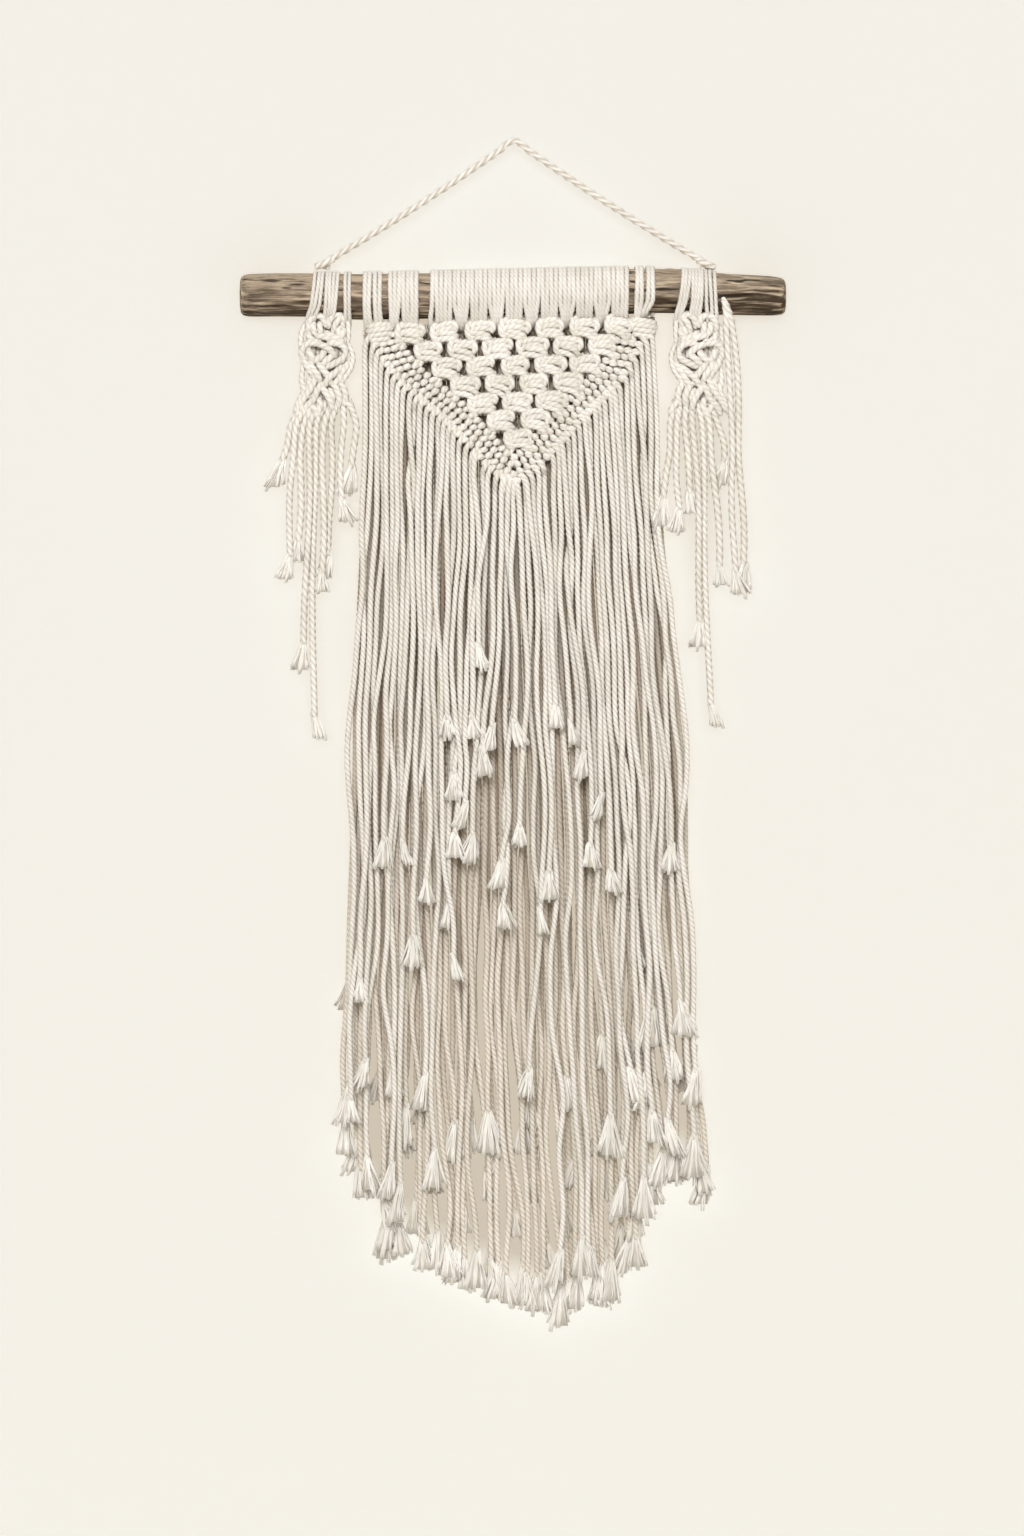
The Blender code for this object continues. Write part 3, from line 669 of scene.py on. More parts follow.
class StageSettings(bpy.types.PropertyGroup):
    wall: colour_setting("Wall", "Wall that the hanging hangs on", (0.60, 0.725, 0.87))
    # The wall shade is a painted glow of the wall, which shows alone in its painted shadow; the
    # wall colour adds to it where the wall is lit.
    shade: colour_setting("Wall shade", "Glow between the strands", (0.575, 0.495, 0.385))
    floor: colour_setting("Floor", "Floor below the hanging", (0.80, 0.78, 0.74))
    lens: FloatProperty(name="Lens", description="Focal length in millimetres", default=120.0)
    distance: length_setting("Camera distance", "From the camera to the hanging", 3840.0)


# --- Placing ----------------------------------------------------------------------------


def clear_selection():
    """Leaves nothing selected or active."""
    for obj in bpy.context.selected_objects:
        obj.select_set(False)
    bpy.context.view_layer.objects.active = None


def add_object(name, data):
    """An object in the scene that shows the data."""
    obj = bpy.data.objects.new(name, data)
    bpy.context.scene.collection.objects.link(obj)
    return obj


def add_piece(name, work, cotton_name, *nodes, slot="cotton_cord"):
    """Makes the gathered cords one piece that stands for solids."""
    mesh = work.mesh(name)
    mesh.materials.append(cotton_of(cotton_name))
    obj = add_object(name, mesh)
    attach(obj, "root")
    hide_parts(*nodes)
    return obj


# Cottons by name: the setting that colours it, the strength of the painted shade in its hollows,
# and its bump.
COTTONS = {
    "net_cotton": ("cotton", 0.4),
    "wrap_cotton": ("cotton", 0.26),
    "strand_cotton": ("cotton", 0.52),
    # Back cotton takes the darker shaded colour: a painted-shade copy of the cotton for the strands
    # behind.
    "back_cotton": ("shaded", 0.6),
    "frayed_cotton": ("frayed", 0.2, 0.00002),
    "hanger_cotton": ("cotton", 0.75),
}


def cotton_of(name):
    """One of the cottons, made by the first piece that uses it."""
    known = bpy.data.materials.get(name)
    if known:
        return known
    colour_name, *looks = COTTONS[name]
    return cotton(name, getattr(bpy.context.scene.macrame_cord, colour_name), *looks)


# --- Wraps round the branch -------------------------------------------------------------

# Runs side by side: first and last x over the branch, first and last x under it, count.
SIDE_WRAPS = {
    "left": (
        (-148.9, -142.9, -155.5, -150.2, 3), (-139.9, -132.0, -141.9, -135.8, 4),
        (-126.0, -123.2, -126.2, -123.0, 2),
    ),
    "right": (
        (126.5, 131.6, 120.4, 123.6, 3), (134.2, 140.9, 131.6, 138.0, 4),
        (143.4, 150.0, 144.8, 152.0, 3),
    ),
}
PANEL_WRAPS = (
    (-111.4, -108.3, -110.8, -107.7, 2), (-103.9, -100.4, -102.9, -99.6, 2),
)
PANEL_RUNS = ((-92.3, -73.0, 7), (-61.0, 84.2, 45), (92.0, 95.3, 2), (100.4, 103.8, 2))
WRAP_RADIUS = 2.05
SIDE_WRAP_RADIUS = 1.65  # the braids' wraps are pulled tighter
WRAP_REST = 0.3  # how far a wrap's middle line lies off the branch, in radii of the wrap
# Height of a row's outer feet, and how much higher its middle ones are.
PANEL_FEET, SIDE_FEET = (-139.5, 1.2), (-136.0, 2.5)


def branch_at(x):
    """Height and radius of the branch at a place along it."""
    return float(read(BRANCH, x, 1)), float(read(BRANCH, x, 2))


def wrap_painted_shade(shape):
    """Painted shade: wraps are darker towards the branch, where they press against each other."""
    height, radius = (read(BRANCH, shape[..., 0], column) for column in (1, 2))
    away = np.hypot(shape[..., 1], shape[..., 2] - height) - radius
    away = away / WRAP_RADIUS - WRAP_REST
    return 0.75 * ramp(away, 0.66, -0.54)


def wrap_run(work, top, bottom, low, index, lean_from=180, thick=WRAP_RADIUS):
    """One cord over the branch: up its back, over the top and down the front.

    It leans from its place on top to its foot from the given turn round the branch on.
    """
    wobble = 0.35 * uneven(index, 0.4)
    height, radius = branch_at(top)
    reach = radius + thick * WRAP_REST
    points = []
    for degrees in (-100, -70, -40, -10, 20, 50, 80, 110, 140, 165, 190, 212):
        angle = math.radians(degrees)
        share = max(0.0, (degrees - lean_from) / (270 - lean_from)) ** 2.0
        x = top + (bottom - top) * share + wobble * math.sin(angle * 2)
        points.append((x, reach * math.cos(angle), height + reach * math.sin(angle)))
    x, y, z = points[-1]
    points.append((x * 0.35 + bottom * 0.65, y * 0.62 - 0.95, z * 0.5 + low * 0.5))
    points.append((bottom, -3.5, low + 1.4))
    points.append((bottom, 0.5, low - 0.6))
    tone = 0.5 * uneven(index, 0.2)
    work.cord(points, 1.9, thick, lay=13.0, hollow=0.86, tone=tone, up=(1, 0, 0))


def bight(work, first, last, index):
    """The bar of a lark's head behind the branch, across its two runs."""
    height, radius = branch_at((first + last) / 2)
    points = []
    for share, lift in ((-0.25, 0.4), (0.05, 2.9), (0.5, 3.5), (0.95, 2.9), (1.25, 0.4)):
        angle = math.radians(-28 + 5 * uneven(index, 0.7))
        reach = radius + WRAP_RADIUS + lift
        x = first + (last - first) * share
        points.append((x, reach * math.cos(angle), height + reach * math.sin(angle)))
    work.cord(points, 2.0, WRAP_RADIUS * 0.95, tone=0.4 * uneven(index))


def wrap_row(work, groups, feet, index, *looks):
    """Groups of runs side by side, and the places of the runs on top of the branch."""
    tops = []
    for first, last, low_first, low_last, count in groups:
        for share in np.linspace(0.0, 1.0, count):
            top = first + (last - first) * share
            bottom = low_first + (low_last - low_first) * share
            low = feet[0] + feet[1] * math.sin(math.pi * share)
            wrap_run(work, top, bottom, low, index + len(tops), *looks)
            tops.append(top)
    return tops


def add_bights(work, tops):
    """A bar across each pair of runs that lie close together."""
    for pair in range(0, len(tops) - 1, 2):
        if tops[pair + 1] - tops[pair] < 5:
            bight(work, tops[pair], tops[pair + 1], pair)


class MACRAME_OT_wraps(bpy.types.Operator):
    """Lark's head rows that hold the net and the braids on the branch"""

    bl_idname = "macrame.wraps"
    bl_label = "Wraps round the branch"

    def execute(self, context):
        work = CordWork(wrap_painted_shade)
        tops = wrap_row(work, PANEL_WRAPS, PANEL_FEET, 0)
        for first, last, count in PANEL_RUNS:
            for top in np.linspace(first, last, count):
                wrap_run(work, top, *panel_foot(top), len(tops))
                tops.append(top)
        add_bights(work, tops)
        add_piece("panel_wraps", work, "wrap_cotton", "knotted_panel")
        index = len(tops)
        for side, groups in SIDE_WRAPS.items():
            work = CordWork(wrap_painted_shade)
            tops = wrap_row(work, groups, SIDE_FEET, index, 110, SIDE_WRAP_RADIUS)
            add_bights(work, tops)
            index += len(tops)
            add_piece(side + "_wraps", work, "wrap_cotton", side + "_braid")
        return {"FINISHED"}


def panel_foot(top):
    """Where a run of the panel ends: over a square knot, or in a point between two."""
    nearest = min(range(NET_ROWS), key=lambda index: abs(knot_place(0, index)[0] - top))
    x, z = knot_place(0, nearest)
    off = top - x
    if abs(off) < KNOT_PITCH / 4:
        return x + off * 0.90, z + 5.6 - 0.02 * off * off
    gap = x + math.copysign(KNOT_PITCH / 2, off)
    away = top - gap
    return gap + away * 0.50, z + 2.4 + 0.30 * abs(away)


# --- Net --------------------------------------------------------------------------------

# Cords of one square knot: across, up and towards the front of its points, from its middle.
KNOT_CORDS = (
    ((-9.0, 1.5, 1.0), (-5.5, 4.4, 3.0), (0.5, 5.7, 3.6), (6.0, 5.2, 3.0), (9.4, 3.4, 0.4)),
    ((-9.0, -2.2, 1.8), (-5.5, 1.0, 4.6), (0.0, 2.4, 5.4), (5.4, 2.2, 4.8), (9.2, 0.4, 1.6)),
    ((-7.0, 0.4, 2.0), (-3.0, -1.0, 4.8), (2.2, -1.4, 5.2), (6.6, -2.8, 4.2), (10.2, -6.2, 0.8)),
    ((-8.6, -3.4, 0.6), (-4.2, -4.6, 3.6), (1.4, -5.2, 4.6), (6.4, -7.4, 4.2), (10.4, -12.2, 1.4)),
    ((-5.4, 8.4, 0.6), (-8.8, 5.4, 3.4), (-10.0, 0.8, 4.4), (-8.8, -3.4, 3.6), (-5.8, -6.6, 0.6)),
    ((7.4, 7.0, 0.6), (9.8, 4.8, 3.0), (10.4, 1.6, 3.6), (9.0, -1.6, 1.6)),
)
KNOT_FILLERS = (-6.0, -2.0, 2.0, 6.0)  # cords that run down through a knot, hidden inside it


def knot_cords(work, x, z, seed, radius):
    """One square knot, with small differences from its neighbours."""
    tilt = math.radians(1.0 + 12.0 * uneven(seed, 0.3))
    grow = 1 + 0.05 * uneven(seed, 0.8)
    for number, line in enumerate(KNOT_CORDS):
        points = []
        for across, up, out in line:
            across = 0.93 * across + uneven(seed * 3 + number, 0.1)
            up = up + 0.9 * uneven(seed * 5 + number, 0.6)
            turned = across * math.cos(tilt) - up * math.sin(tilt)
            raised = across * math.sin(tilt) + up * math.cos(tilt)
            points.append((x + turned * grow, NET_Y - out * grow, z + raised * grow))
        thick = radius * (1.12 + 0.1 * uneven(seed + number, 0.5))
        tone = 1.1 * uneven(seed * 7 + number, 0.2)
        work.cord(points, 1.5, thick, lay=12.5, hollow=0.88, tone=tone, ends="pinched")
    for across in KNOT_FILLERS:
        points = []
        for up, out in ((8.0, -1.0), (3.0, 0.8), (-3.0, 0.8), (-8.0, -1.0)):
            points.append((x + across, NET_Y - out, z + up))
        work.cord(points, 2.4, 2.3, tone=-0.4)


def link_cords(work, start, end, side, seed, radius):
    """Two cords side by side that run from a knot to the next one, behind the knots' front."""
    (x0, z0), (x1, z1) = start, end
    for number in range(2):
        off = (number - 0.5) * 3.6
        bulge = 1.6 + 0.6 * uneven(seed + number, 0.4)
        points = (
            (x0 + side * 3.4 + off, NET_Y + 0.5, z0 - 3.0),
            (x0 + side * 5.0 + off, NET_Y - bulge * 0.8, z0 - 5.2 - 0.3 * off * side),
            (x1 - side * 5.4 + off, NET_Y - bulge, z1 + 5.4 + 0.3 * off * side),
            (x1 - side * 3.4 + off, NET_Y + 0.3, z1 + 1.8),
        )
        tone = 0.5 * uneven(seed * 3 + number, 0.9)
        work.cord(points, 1.7, radius, lay=12.5, hollow=0.86, tone=tone)


def net_painted_shade(shape):
    """Painted shade on the net's rear half, so that the openings between knots look deep."""
    return 0.9 * ramp(shape[..., 1], NET_Y - 1.0, NET_Y + 2.0)


class MACRAME_OT_net(bpy.types.Operator):
    """Net of alternating square knots and the cords that run between them"""

    bl_idname = "macrame.net"
    bl_label = "Square knots"

    def execute(self, context):
        radius = context.scene.macrame_cord.knot / MM / 2
        # Knots and links also get painted shade on their far flanks.
        knots, links = CordWork(net_painted_shade, 0.68), CordWork(net_painted_shade, 0.68)
        seed = 0
        for row in range(NET_ROWS):
            for index in range(NET_ROWS - row):
                place = knot_place(row, index)
                knot_cords(knots, *place, seed, radius)
                for side, child in ((-1, index - 1), (1, index)):
                    target = knot_place(row + 1, child)
                    link_cords(links, place, target, side, seed * 2 + side, radius * 0.86)
                seed += 1
        for index in range(NET_ROWS):
            x, z = knot_place(0, index)
            for number in range(4):
                off = (number - 1.5) * 3.2
                points = ((x + off, 0.0, z + 9.0), (x + off, -3.0, z + 5.0), (x + off, -4.0, z))
                links.cord(points, 2.0, radius * 0.8, tone=0.3 * uneven(number))
        add_piece("square_knots", knots, "net_cotton", "knotted_panel")
        add_piece("net_cords", links, "net_cotton", "knotted_panel")
        return {"FINISHED"}


# --- Border -----------------------------------------------------------------------------

BORDER_ROWS = (0.4, 5.9, 11.4, 16.9)  # distance of each row in from the outer line
BEAN_PITCH, BEAN_SIZE = 5.6, 1.12  # size as a share of the knot cord's
BEAN_LEANS = (0.5, -0.05)  # how far a half hitch leans on the left side and on the right
# Coils where the border starts under the heading, and their turns: height, front, reach.
CORNER_COILS = ((-100.5, -139.5), (97.0, -136.5))
COIL_TURNS = ((3.0, 4.5, 8.5), (-0.6, 5.6, 9.0), (-4.0, 4.6, 8.0), (-7.4, 3.0, 7.0))


def border_line(distance):
    """The outer line moved up into the net, mitred at its corners."""
    points = [Vector(point) for point in BORDER]
    ways = [(b - a).normalized() for a, b in zip(points, points[1:])]
    moved = []
    for point, way_in, way_out in zip(points, ways[:1] + ways, ways + ways[-1:]):
        ahead = (way_in + way_out).normalized()
        moved.append(point + Vector((-ahead.y, ahead.x)) * (distance / ahead.dot(way_in)))
    return moved


def along_line(points, pitch):
    """Places an even pitch apart along a line, with the way the line runs there."""
    points = np.array([tuple(point) for point in points])
    run = run_along(points)
    count = int(run[-1] / pitch)
    places = []
    for at in np.linspace(pitch / 2, run[-1] - pitch / 2, count):
        spot = [np.interp(at, run, points[:, axis]) for axis in range(2)]
        before = [np.interp(at - 4, run, points[:, axis]) for axis in range(2)]
        after = [np.interp(at + 4, run, points[:, axis]) for axis in range(2)]
        way = np.subtract(after, before)
        places.append((spot, way / np.linalg.norm(way)))
    return places


def bean(work, spot, way, seed, radius, lean):
    """One half hitch: a short cord that arches over the row's hidden core."""
    inward = np.array((-way[1], way[0]))
    lean += 0.45 * uneven(seed, 0.45)
    points = []
    for across, front in ((-1.0, 0.2), (-0.75, 1.9), (0.0, 2.7), (0.75, 1.9), (1.0, 0.2)):
        shift = across * 1.45 * (1 + 0.08 * uneven(seed, 0.3))
        flat = np.array(spot) + inward * shift + way * across * lean
        lift = front / 2.7 * 3.2 * (1 + 0.12 * uneven(seed, 0.6))
        points.append((flat[0], NET_Y - lift, flat[1]))
    thick = radius * (1 + 0.07 * uneven(seed, 0.9))
    tone = 0.8 * uneven(seed, 0.1)
    work.cord(points, 1.5, thick, lay=12.0, hollow=0.88, tone=tone, ends="pinched")


def corner_coils(work, radius):
    """The turns of cord where the border starts under the heading."""
    for x, z in CORNER_COILS:
        for number, (low, out, reach) in enumerate(COIL_TURNS):
            points = []
            for share in (-1.0, -0.6, 0.0, 0.6, 1.0):
                front = out * (1 - share * share) - 1.5
                up = low + 1.2 * share * (1 if x < 0 else -1)
                points.append((x + share * reach, NET_Y - front - 2.0, z + up))
            tone = 0.2 * number - 0.3
            work.cord(points, 1.7, radius, lay=12.5, hollow=0.86, tone=tone)


class MACRAME_OT_border(bpy.types.Operator):
    """Rows of half hitches along the net's V-shaped lower edge"""

    bl_idname = "macrame.border"
    bl_label = "Half hitch border"

    def execute(self, context):
        radius = context.scene.macrame_cord.knot / MM / 2 * BEAN_SIZE
        # Half hitches get painted shade on the net's rear half and on their far flanks.
        work = CordWork(net_painted_shade, 0.75)
        seed = 0
        for number, distance in enumerate(BORDER_ROWS):
            line = border_line(distance)[1:-1]
            for side, lean in enumerate(BEAN_LEANS):
                middle = len(line) // 2
                part = line[: middle + 1] if side == 0 else line[middle:][::-1]
                core = [(p[0], NET_Y + 1.0, p[1]) for p in part]
                work.cord(core, 2.4, 2.1, tone=-0.3)
                for spot, way in along_line(part, BEAN_PITCH):
                    shift = way * (BEAN_PITCH / 2 * (number % 2) + 0.4 * uneven(seed, 0.2))
                    place = (spot[0] + shift[0], spot[1] + shift[1])
                    bean(work, place, way, seed, radius, lean)
                    seed += 1
        corner_coils(work, radius)
        add_piece("half_hitches", work, "net_cotton", "knotted_panel", "front_fringe")
        return {"FINISHED"}


# --- Fringe -----------------------------------------------------------------------------

LEVEL = 6.0  # height between the places worked out along a strand
FRINGE_FAR_SIDE_SHADE = 0.16  # painted shade on the far flanks of a fringe's strand
SETTLE_ROUNDS = 26
LAST_ROUNDS = 6  # rounds at the end that no longer pull a strand back to its place
PUSH, PULL_BACK = 0.6, 0.04  # shares of a push apart and of a pull back made in one round
CLEARANCE = 0.1  # added to a strand's radius while it settles


def wander(shares, z, salt, start=-150.0, calm=120.0):
    """How far each strand strays sideways on its way down."""
    index = np.arange(len(shares))
    total = np.zeros((len(z), len(shares)))
    drop = np.maximum(ramp(z, start, start - calm), 0.15)[:, None]
    waves = ((330.0, 2.2), (140.0, 1.4), (74.0, 1.0), (39.0, 0.5))
    for part, (length, size) in enumerate(waves):
        phase = 2 * math.pi * ((index * GOLDEN * (part + 1) + salt + 0.31 * part) % 1.0)
        stretch = 1 + 0.25 * np.sin(index * 2.7 + part)
        size = size * (1 + 0.6 * np.sin(index * 1.9 + 2 * part + salt))
        total += size * np.sin(2 * math.pi * z[:, None] / (length * stretch) + phase)
    return total * drop


def gathered(x, z, salt, start=-380.0):
    """Strands draw together into loose groups with gaps between, more so low down."""
    pull = ramp(z, start, start - 300.0)[:, None]
    slow = 5.0 * np.sin(2 * math.pi * z[:, None] / 380.0 + salt)
    wide = 3.1 * np.sin(2 * math.pi * (x + slow) / 27.0 + salt)
    narrow = 1.2 * np.sin(2 * math.pi * (x - slow) / 13.5 + 2 * salt)
    return x - pull * (wide + narrow)


def settle(x, y, live, radius, near, far):
    """Pushes strands that overlap apart at each height and smooths their way down."""
    count = x.shape[1]
    home_x, home_y = x.copy(), y.copy()
    for turn in range(SETTLE_ROUNDS):
        dx = x[:, :, None] - x[:, None, :]
        dy = y[:, :, None] - y[:, None, :]
        gap = np.sqrt(dx * dx + dy * dy) + np.eye(count) * 99 + 1e-6
        both = live[:, :, None] & live[:, None, :]
        push = np.where(both, np.clip(2 * radius - gap, 0.0, None), 0.0) * 0.5 / gap
        x += (dx * push).sum(axis=2) * PUSH
        y += (dy * push).sum(axis=2) * PUSH
        if turn < SETTLE_ROUNDS - LAST_ROUNDS:
            x += (home_x - x) * PULL_BACK
            y += (home_y - y) * PULL_BACK
        y[:] = np.clip(y, near, far)
        for line in (x, y):
            line[1:-1] = (line[:-2] + 2 * line[1:-1] + line[2:]) / 4
    return x, y


def hem_end(index, share):
    """Height at which a strand ends on the uneven hem."""
    return float(read(HEM, share, 1) + read(HEM, share, 2) * uneven(index))


def front_ends():
    """Sideways place and height at which each front strand ends."""
    shares = [(index + 0.5) / FRONT_STRANDS for index in range(FRONT_STRANDS)]
    ends = {}
    for x, height in TUFTS:
        free = [index for index in range(FRONT_STRANDS) if index not in ends]
        nearest = min(free, key=lambda index: abs(fall_x(shares[index], height) - x))
        ends[nearest] = (x, height)
    for index, share in enumerate(shares):
        height = hem_end(index, share) + FRONT_HIGHER * FRONT_STEPS[index % len(FRONT_STEPS)]
        ends.setdefault(index, (None, height))
    return [ends[index] for index in range(FRONT_STRANDS)]


def hang(work, frayed, points, radius, index, lay, step=1.7, spread=8.6, long=24.0):
    """A hanging strand through points, and the tuft that it frays into."""
    tone = 0.8 * uneven(index, 0.15)
    thick = radius * (1 + 0.06 * uneven(index, 0.55))
    lay *= 1 + 0.12 * uneven(index, 0.4)
    path = work.cord(points, step, thick, lay=lay, tone=tone, ends="cut")
    way = path[-1] - path[-4]
    way = way / np.linalg.norm(way)
    size = 1 + 0.17 * uneven(index, 0.77)
    way = way + (0.26 * uneven(index, 0.31), 0.0, 0.0)
    start = path[-1] - 4.0 * way
    spread *= 0.86 + 0.24 * uneven(index, 0.47)
    frayed.tuft(start, way, long * size, spread * size, index * 1.7, tone=0.3 * tone)


def front_painted_shade(shape):
    """Painted shade on the inner side of the front layer, a little less near the hem."""
    cover = 0.6 + 0.4 * ramp(shape[..., 2], -800.0, -550.0)
    return 0.82 * cover * ramp(shape[..., 1], -3.3, 0.3)


def back_painted_shade(shape):
    """Painted shade on the back layer, darkest where the net and the front layer cover it."""
    cover = 0.06 + 0.8 * ramp(shape[..., 2], -640.0, -340.0)
    return 0.82 * cover * np.maximum(ramp(shape[..., 1], 10.0, 4.0), 0.4)


def front_roots(shares):
    """Height on the border at which each front strand starts."""
    roots = []
    for share in shares:
        height = BORDER[0][1]
        for _ in range(4):  # each round comes closer to where the strand meets the border
            height = float(read(BORDER, fall_x(share, height), 1))
        roots.append(height)
    return np.array(roots)


def front_courses(levels, shares, roots, tips, radius):
    """Sideways place and depth of every front strand at each height."""
    order = np.arange(FRONT_STRANDS)
    x = np.array([fall_x(shares, z) for z in levels]) + wander(shares, levels, 0.1)
    x = gathered(x, levels, 0.6)
    planes = np.array(FRONT_PLANES)[order % 2]
    planes += (np.mean(FRONT_PLANES) - planes) * FRONT_SETTLE
    y = planes + 1.1 * np.sin(levels[:, None] / 37.0 + 5 * order)
    for index, (tip_x, height) in enumerate(tips):
        if tip_x is not None:
            share = ramp(levels, height, height + 130.0)
            x[:, index] = tip_x + (x[:, index] - tip_x) * share
            sway = 3.4 * np.sin((levels - height) / 26.0 + index) * (1 - share) ** 0.5
            x[:, index] += sway * ramp(levels, height + 12.0, height + 62.0)
            near = ramp(levels, height + 170.0, height + 90.0)
            y[:, index] += (HIGH_TUFT_Y - y[:, index]) * near
    loose = ramp(levels, -235.0, -295.0)
    for index in order:
        if uneven(index, 0.21) > 0.4:
            x[:, index] += 2.2 * np.sin(levels / 31.0 + index) * loose
            y[:, index] -= 2.2 * loose
    eye = np.exp(-(((levels - EYE_Z) / 15.0) ** 2))
    for side, index in ((-1, FRONT_STRANDS // 2 - 1), (1, FRONT_STRANDS // 2)):
        x[:, index] += EYE_WIDTH * side * eye
    ends = np.array([height for _, height in tips])
    live = (levels[:, None] < roots - 8) & (levels[:, None] > ends - 6)
    return settle(x, y, live, radius + CLEARANCE, -12.4, -0.4)


def front_hook(x):
    """Points where a strand comes out from under the border, beside a place below it."""
    side = 1.0 if x > BORDER[TIP][0] else -1.0
    x -= side * 2.6
    z = float(read(BORDER, x, 1))
    hook = ((-3.6, 0.6, 3.4), (-1.2, -2.8, 1.0), (1.6, -3.2, -2.6))
    return [(x + side * across, NET_Y + back, z + up) for across, back, up in hook]


class MACRAME_OT_front_fringe(bpy.types.Operator):
    """Strands that hang from the border, each frayed at its end"""

    bl_idname = "macrame.front_fringe"
    bl_label = "Front fringe"

    def execute(self, context):
        cord = context.scene.macrame_cord
        radius = cord.strand / MM / 2
        levels = np.arange(-140.0, -880.0, -LEVEL)
        shares = (np.arange(FRONT_STRANDS) + 0.5) / FRONT_STRANDS
        roots, tips = front_roots(shares), front_ends()
        x, y = front_courses(levels, shares, roots, tips, radius)
        work, frayed = CordWork(front_painted_shade, FRINGE_FAR_SIDE_SHADE), CordWork()
        for index, (tip_x, end) in enumerate(tips):
            long, reach, wide = HEM_TUFT if tip_x is None else HIGH_TUFT
            low = end + long - reach
            column = np.flatnonzero((levels < roots[index] - 11) & (levels > low + 1))
            path = [(x[k, index], y[k, index], levels[k]) for k in column]
            path = front_hook(path[0][0]) + path + [(path[-1][0], path[-1][1], low)]
            spread = wide * long
            hang(work, frayed, path, radius, index, cord.lay / MM, spread=spread, long=long)
        add_piece("front_strands", work, "strand_cotton", "front_fringe")
        add_piece("front_tufts", frayed, "frayed_cotton", "front_fringe")
        return {"FINISHED"}


def inner_painted_shade(shape):
    """Painted shade on the strands next to the wall, which lie in the others' shade."""
    cover = 0.16 + 0.6 * ramp(shape[..., 2], -760.0, -460.0)
    return cover * ramp(shape[..., 1], 15.4, 12.4)


def back_layer(shares, levels, ends, planes, salt, limits, radius):
    """Courses of a layer of strands behind the net: sideways and depth at each height."""
    top, far = limits
    x = np.array([fall_x(shares, z) for z in levels])
    x = gathered(x + wander(shares, levels, salt, -440.0, 200.0), levels, 1.6 + salt, -520.0)
    order = np.arange(len(shares))
    y = np.array(planes)[order % 2] + 0.9 * np.sin(levels[:, None] / 41.0 + 3 * order)
    live = (levels[:, None] < top) & (levels[:, None] > np.array(ends) - 6)
    return settle(x, y, live, radius + CLEARANCE, planes[0] - 1.8, far)


def header_row():
    """The row behind the branch that the back strands hang from: a core and its coils."""
    back_y, top = HEADER
    work = CordWork()
    line = [(x, back_y, top + NET_SLOPE * x) for x in FALL[0][1:]]
    work.cord(line, 2.2, 3.0, lay=18.0)
    for seed, (spot, _) in enumerate(along_line([(p[0], p[2]) for p in line], 4.4)):
        points = []
        for up, out in ((-3.2, -1.0), (-2.4, 2.6), (0.0, 4.2), (2.4, 2.6), (3.2, -1.0)):
            points.append((spot[0] + 0.2 * up, back_y + out, spot[1] + up))
        work.cord(points, 1.7, 1.7, tone=0.4 * uneven(seed))
    return work


def back_route(x, y, levels, roots, below, low):
    """A back strand's points: its roots at the header row, its course, and its end."""
    back_y, top = HEADER
    inside = (levels < top - below) & (levels > low + 1)
    path = [(x[k], y[k], levels[k]) for k in np.flatnonzero(inside)]
    side = path[0][0]
    roots = [(side, back_y + back, top + NET_SLOPE * side + up) for back, up in roots]
    return roots + path + [(path[-1][0], path[-1][1], low)]


class MACRAME_OT_back_fringe(bpy.types.Operator):
    """Longer strands that hang from the branch behind the net"""

    bl_idname = "macrame.back_fringe"
    bl_label = "Back fringe"

    def execute(self, context):
        cord = context.scene.macrame_cord
        radius, lay = cord.strand / MM / 2, cord.lay / MM
        top = HEADER[1]
        levels = np.arange(-134.0, -890.0, -LEVEL)
        shares = (np.arange(BACK_STRANDS) + 0.5) / BACK_STRANDS
        ends = [hem_end(index, share) for index, share in enumerate(shares)]
        for index in range(3, BACK_STRANDS, SHORT_EVERY):
            ends[index] += SHORT_BY * (1.4 + uneven(index, 0.3))
        x, y = back_layer(shares, levels, ends, BACK_PLANES, 0.7, (top - 8, 12.0), radius)
        halves = [CordWork(back_painted_shade, FRINGE_FAR_SIDE_SHADE) for _ in range(2)]
        frayed = CordWork()
        for index in range(BACK_STRANDS):
            course = (x[:, index], y[:, index], levels)
            path = back_route(*course, ((0, 5), (0, 0)), 10, ends[index] + 22)
            half = halves[index * 2 // BACK_STRANDS]
            hang(half, frayed, path, radius, index + 60, lay, 2.1, 9.8, 30.0)
        for name, half in zip(("back_strands_left", "back_strands_right"), halves):
            add_piece(name, half, "back_cotton", "back_fringe")
        inner, loose = CordWork(inner_painted_shade), CordWork(inner_painted_shade)
        shares = (np.arange(INNER_STRANDS) + 0.5) / INNER_STRANDS
        ends = []
        for index, share in enumerate(shares):
            higher = INNER_HIGHER * (0.5 + 0.5 * uneven(index, 0.83)) + 6
            ends.append(hem_end(index, share) + higher)
        x, y = back_layer(shares, levels, ends, INNER_PLANES, 1.9, (top - 8, 16.0), radius)
        for index in range(INNER_STRANDS):
            course = (x[:, index], y[:, index], levels)
            path = back_route(*course, ((3.6, 0), (5.6, -6)), 16, ends[index] + 21)
            hang(inner, loose, path, radius, index + 160, lay, 2.6, 9.0, 26.0)
        add_piece("inner_strands", inner, "back_cotton", "back_fringe")
        add_piece("inner_tufts", loose, "frayed_cotton", "back_fringe")
        add_piece("header_row", header_row(), "back_cotton", "back_fringe")
        add_piece("back_tufts", frayed, "frayed_cotton", "back_fringe")
        return {"FINISHED"}


# --- Side braids ------------------------------------------------------------------------


def braid_painted_shade(shape):
    """Painted shade on the braid's rear half, between its cords."""
    rise = ramp(shape[..., 1], BRAID_Y - 0.4, BRAID_Y + 2.6)
    return 0.85 * rise * ramp(shape[..., 1], 0.4, -0.8)


